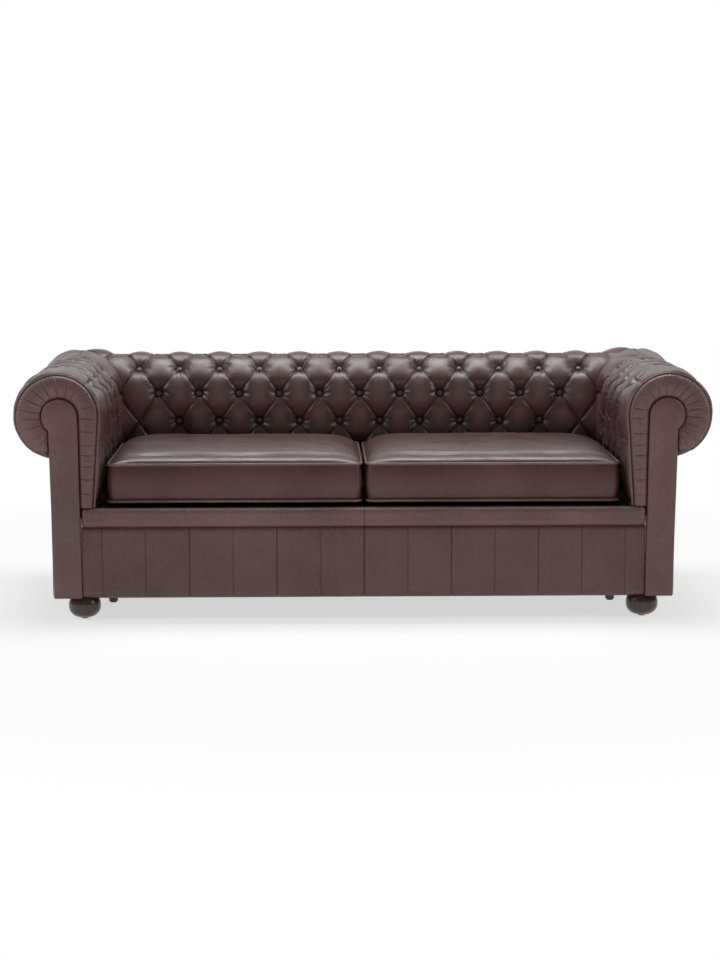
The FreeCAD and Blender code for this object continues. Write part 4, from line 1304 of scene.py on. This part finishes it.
@dataclass
class SeatCushion:
    """One loose boxed seat cushion with piped edges."""

    side: Side
    bench: Bench
    middle: float = 0.379
    half: float = 0.3686
    front: float = -0.3946
    rear: float = 0.1626
    low: float = 0.350
    high: float = 0.452
    crown: float = 0.023
    shoulder: float = 0.0225
    belly: float = 0.0148
    bulge: float = 0.006
    corner: float = 0.020
    crease: float = 0.0034
    crease_in: float = 0.060
    crease_width: float = 0.010
    piping: float = 0.0042
    piping_out: float = 0.00318
    piping_knots: int = 300
    turns: int = 360
    caps: int = 44
    wall: int = 14

    @property
    def centre(self) -> Vector:
        """The middle of the cushion, on the floor."""
        return Vector((self.side.value * self.middle, (self.front + self.rear) / 2, 0.0))

    def rim(self, turn: float, out: float) -> tuple[float, float]:
        """A point on the rounded outline, at a share of the way round.

        Args:
            turn: The share of the way round, from the middle of the front.
            out: How far outside the boxing's plain line it is.

        Returns:
            Its x and y.
        """
        w, d, r = self.half + out, (self.rear - self.front) / 2 + out, self.corner + out
        cx, cy, _ = self.centre
        quarter = math.pi / 2 * r
        sides = (
            (2 * (w - r), (-w + r, -d), (1, 0), (w - r, -d + r), -90),
            (2 * (d - r), (w, -d + r), (0, 1), (w - r, d - r), 0),
            (2 * (w - r), (w - r, d), (-1, 0), (-w + r, d - r), 90),
            (2 * (d - r), (-w, d - r), (0, -1), (-w + r, -d + r), 180),
        )
        whole = sum(side[0] + quarter for side in sides)
        left = ((turn % 1.0) * whole + w - r) % whole
        for run, start, way, hub, begin in sides:
            if left <= run:
                return cx + start[0] + way[0] * left, cy + start[1] + way[1] * left
            left -= run
            if left <= quarter:
                angle = math.radians(begin) + left / r
                return cx + hub[0] + r * math.cos(angle), cy + hub[1] + r * math.sin(angle)
            left -= quarter
        return cx, cy - d

    def build_cover(self) -> bpy.types.Object:
        """Build the leather cover over its foam.

        Returns:
            The finished cover.
        """
        around = 2 * self.caps + self.wall
        mesh = bmesh.new()
        bmesh.ops.create_grid(mesh, x_segments=self.turns, y_segments=around, size=1.0)
        painted_shade_and_wear = mesh.verts.layers.float.new("painted_shade_and_wear")
        for vert in mesh.verts:
            turn = (vert.co.x + 1.0) / 2.0
            step = round((vert.co.y + 1.0) / 2.0 * around)
            vert.co, vert[painted_shade_and_wear] = self.cover_point(turn % 1.0, step)
        bmesh.ops.remove_doubles(mesh, verts=mesh.verts, dist=1e-6)
        names = (f"{self.side.word}_cushion_cover", f"{self.side.word}_cushion_core")
        piece = self.bench.finish(
            f"{self.side.word}_cushion_leather", mesh, "cushion_leather", names, f"{self.side.word}_cushion"
        )
        return piece

    def cover_point(self, turn: float, step: int) -> tuple[Vector, float]:
        """The point of the cover at a turn round it and a step from the top's middle down.

        Args:
            turn: The share of the way round.
            step: The step from the middle of the top, over the edge, to the middle of the bottom.

        Returns:
            The point and its painted-shade value.
        """
        centre, caps, wall = self.centre, self.caps, self.wall
        if caps < step < caps + wall:
            t = (step - caps) / wall
            pull = 1.0 - 0.35 * (abs(2.0 * ((4.0 * turn) % 1.0) - 1.0)) ** 6
            out = self.bulge * math.sin(math.pi * t) * pull
            x, y = self.rim(turn, out)
            # Painted shade: the wall darkens towards both pipings.
            return Vector((x, y, self.high + t * (self.low - self.high))), 0.45 + 0.3 * math.sin(math.pi * t)
        upper = step <= caps
        step_in = (caps - step if upper else step - caps - wall) / caps
        share = 1.0 - step_in**1.6
        x, y = self.rim(turn, 0.0)
        x = centre.x + (x - centre.x) * share
        y = centre.y + (y - centre.y) * share
        side, fore, aft = self.half - abs(x - centre.x), y - self.front, self.rear - y
        if not upper:
            full = smooth(0.09, 0.20, min(side, fore, aft))
            # Painted shade under the cushion.
            return Vector((x, y, self.low - self.belly * full)), 0.3
        lift, painted_shade_and_wear = self.top_lift(x, y, (side, fore, aft))
        return Vector((x, y, self.high + lift)), painted_shade_and_wear

    def top_lift(self, x: float, y: float, inside: tuple[float, float, float]) -> tuple[float, float]:
        """How far the top stands above its piping.

        Args:
            x: The point's x.
            y: The point's y.
            inside: How far it is in from the nearer side, the front and the back.

        Returns:
            The lift, and its painted-shade value.
        """
        side, fore, aft = inside
        depth = (self.rear - self.front) / 2
        shoulder = self.shoulder * dome(side / 0.10) * dome(fore / 0.036) * dome(aft / 0.09)
        dip = self.crease_in + 0.006 * ripple(x * 7.0, 3.0)
        crease = self.crease * math.exp(-(((fore - dip) / self.crease_width) ** 2)) * dome(side / 0.09)
        rise = dome(side / 0.16) * dome((fore - 0.05) / (0.8 * depth)) * dome(aft / 0.16)
        wave = 0.0022 * ripple(x * 5.0, y * 6.0, 3.0) + 0.0007 * ripple(x * 20.0, y * 14.0, 8.0)
        lift = shoulder + self.crown * rise - crease + wave * dome(min(inside) / 0.06)
        # Painted shade in the crease above the front piping, a little less on the crown.
        return lift, 0.56 + 0.14 * rise - 60.0 * crease

    def build_piping(self) -> bpy.types.Object:
        """Build both rings of piping.

        Returns:
            The finished piping.
        """
        joined = bmesh.new()
        for height, seed in ((self.high + self.piping_out, 1.0), (self.low - self.piping_out, 2.0)):
            points = []
            for k in range(self.piping_knots):
                x, y = self.rim(k / self.piping_knots, self.piping_out)
                points.append(Vector((x, y, height + 0.0006 * ripple(x * 9.0, y * 9.0, seed))))
            data = self.bench.tube("ring", points, self.piping, closed=True)
            joined.from_mesh(data)
            bpy.data.meshes.remove(data)
        name = f"{self.side.word}_cushion_piping"
        return self.bench.finish(f"{name}_cord", joined, "piping_leather", (name,), f"{self.side.word}_cushion")

    def build(self) -> None:
        """Build the cushion."""
        self.build_cover()
        self.build_piping()


@dataclass(frozen=True)
class Lamp:
    """One soft lamp: where it hangs, what it points at, and its power in watts."""

    name: str
    size: tuple[float, float]
    place: tuple[float, float, float]
    aim: tuple[float, float, float]
    power: float
    shines: bool = True

    def hang(self) -> None:
        """Hang the lamp, which shows in the leather's sheen only where it shines."""
        light = bpy.data.lights.new(self.name, "AREA")
        light.shape = "RECTANGLE"
        light.size, light.size_y = self.size
        light.energy = self.power
        lamp = bpy.data.objects.new(self.name, light)
        lamp.location = self.place
        way = Vector(self.aim) - Vector(self.place)
        lamp.rotation_euler = way.to_track_quat("-Z", "Y").to_euler()
        lamp.visible_camera = False
        lamp.visible_glossy = self.shines
        bpy.context.scene.collection.objects.link(lamp)


@dataclass
class Studio:
    """The plain floor and backdrop, the lamps and the camera, which stands as the photograph's did."""

    lens: float = 82.33
    place: tuple[float, float, float] = (-0.1444, -6.7817, 1.2358)
    yaw: float = 1.191
    pitch: float = -7.384
    roll: float = 0.077
    near_white: float = 0.62
    white_from: float = 0.9
    white_to: float = 2.4
    floor_size: tuple[float, float] = (32.0, 36.0)
    floor_front: float = -13.0
    floor_flat: float = 25.0
    floor_bend: float = 1.5
    air: float = 0.13
    lamps: tuple[Lamp, ...] = (
        Lamp("overhead", (2.8, 1.2), (0.0, 0.5, 2.9), (0.0, 0.0, 0.4), 96.0),
        Lamp("left_side", (1.0, 1.0), (-3.4, -1.0, 2.2), (0.0, 0.0, 0.4), 44.0),
        Lamp("right_side", (1.0, 1.0), (3.4, -1.0, 2.2), (0.0, 0.0, 0.4), 44.0),
        Lamp("low_fill", (3.2, 0.5), (0.0, -4.2, 0.3), (0.0, 0.0, 0.25), 96.0, shines=False),
    )

    def surface(self, name: str, colour: tuple[int, int, int]) -> bpy.types.Material:
        """A pale painted surface.

        Args:
            name: The material's name.
            colour: Its colour.

        Returns:
            The material.
        """
        tree = Tree(name)
        cloud = tree.noise(1.5)
        darker = tuple(c - 4 for c in colour)
        shade = tree.mix(tree.spread(cloud, 0.3, 0.7, 0.0, 1.0), tone(*colour), tone(*darker))
        tree.finish(shade, 0.75, tree.bump(tree.noise(90.0), 0.05, 0.001))
        glow = tree.add("ShaderNodeEmission")
        split = tree.add("ShaderNodeMixShader")
        path = tree.add("ShaderNodeLightPath")
        seen = tree.math("MAXIMUM", path.outputs["Is Camera Ray"], path.outputs["Is Glossy Ray"])
        reach = tree.add("ShaderNodeVectorMath", operation="LENGTH")
        tree.links.new(tree.place, reach.inputs[0])
        white = tree.spread(reach.outputs["Value"], self.white_from, self.white_to, self.near_white, 1.0)
        tree.put(tree.math("MULTIPLY", seen, white), split.inputs[0])
        tree.links.new(tree.shader.outputs[0], split.inputs[1])
        tree.links.new(glow.outputs[0], split.inputs[2])
        output = next(n for n in tree.nodes if n.type == "OUTPUT_MATERIAL")
        tree.links.new(split.outputs[0], output.inputs["Surface"])
        return tree.material

    def build_stage(self) -> None:
        """Build the floor, curved up into the backdrop."""
        mesh = bmesh.new()
        bmesh.ops.create_grid(mesh, x_segments=2, y_segments=60, size=0.5)
        width, length = self.floor_size
        flat, bend = self.floor_flat, self.floor_bend
        for vert in mesh.verts:
            run = (vert.co.y + 0.5) * length
            turn = min(max(run - flat, 0.0), math.pi / 2 * bend)
            y = self.floor_front + min(run, flat) + bend * math.sin(turn / bend)
            z = bend * (1 - math.cos(turn / bend)) + max(0.0, run - flat - math.pi / 2 * bend)
            vert.co = Vector((vert.co.x * width, y, z))
        data = bpy.data.meshes.new("studio_floor")
        for face in mesh.faces:
            face.smooth = True
        mesh.to_mesh(data)
        mesh.free()
        data.materials.append(self.surface("studio_paint", (236, 235, 233)))
        floor = bpy.data.objects.new("studio_floor", data)
        bpy.context.scene.collection.objects.link(floor)

    def build_air(self) -> None:
        """Set the world's soft light, and the white that the camera sees past the backdrop."""
        world = bpy.data.worlds.new("studio_air")
        world.use_nodes = True
        nodes, links = world.node_tree.nodes, world.node_tree.links
        air = nodes["Background"]
        air.inputs["Color"].default_value = (1.0, 0.98, 0.96, 1.0)
        air.inputs["Strength"].default_value = self.air
        white = nodes.new("ShaderNodeBackground")
        white.inputs["Color"].default_value = (1.0, 1.0, 1.0, 1.0)
        path = nodes.new("ShaderNodeLightPath")
        share = nodes.new("ShaderNodeMixShader")
        links.new(path.outputs["Is Camera Ray"], share.inputs[0])
        links.new(air.outputs[0], share.inputs[1])
        links.new(white.outputs[0], share.inputs[2])
        links.new(share.outputs[0], nodes["World Output"].inputs[0])
        bpy.context.scene.world = world

    def build_camera(self) -> None:
        """Set the camera at the photograph's angle."""
        data = bpy.data.cameras.new("camera")
        data.lens = self.lens
        data.sensor_width = 36.0
        data.clip_end = 60.0
        camera = bpy.data.objects.new("camera", data)
        turn = Matrix.Rotation(math.radians(-self.yaw), 4, "Z")
        turn = turn @ Matrix.Rotation(math.radians(90 + self.pitch), 4, "X")
        turn = turn @ Matrix.Rotation(math.radians(-self.roll), 4, "Z")
        camera.matrix_world = Matrix.Translation(self.place) @ turn
        bpy.context.scene.collection.objects.link(camera)
        bpy.context.scene.camera = camera

    def build(self) -> None:
        """Build the whole studio."""
        self.build_stage()
        for lamp in self.lamps:
            lamp.hang()
        self.build_air()
        self.build_camera()
        bpy.context.scene.view_settings.view_transform = "Standard"


def main() -> None:
    """Build the sofa piece by piece, and the studio round it."""
    logging.basicConfig(level=logging.INFO, format="%(name)s: %(message)s")
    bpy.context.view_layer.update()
    wardrobe = Wardrobe()
    bench = Bench(wardrobe)
    wardrobe.dress_frame()
    Studio().build()
    TuftedPad(Pad.BACK, Side.RIGHT, bench).build()
    for side in Side:
        TuftedPad(Pad.ARM, side, bench, creep=0.0042, fold=0.0082).build()
        ArmFront(side, bench).build()
        SeatCushion(side, bench).build()
    SeatFront(bench).build()
    OutsideCovers(bench).build()


if __name__ == "__main__":
    main()
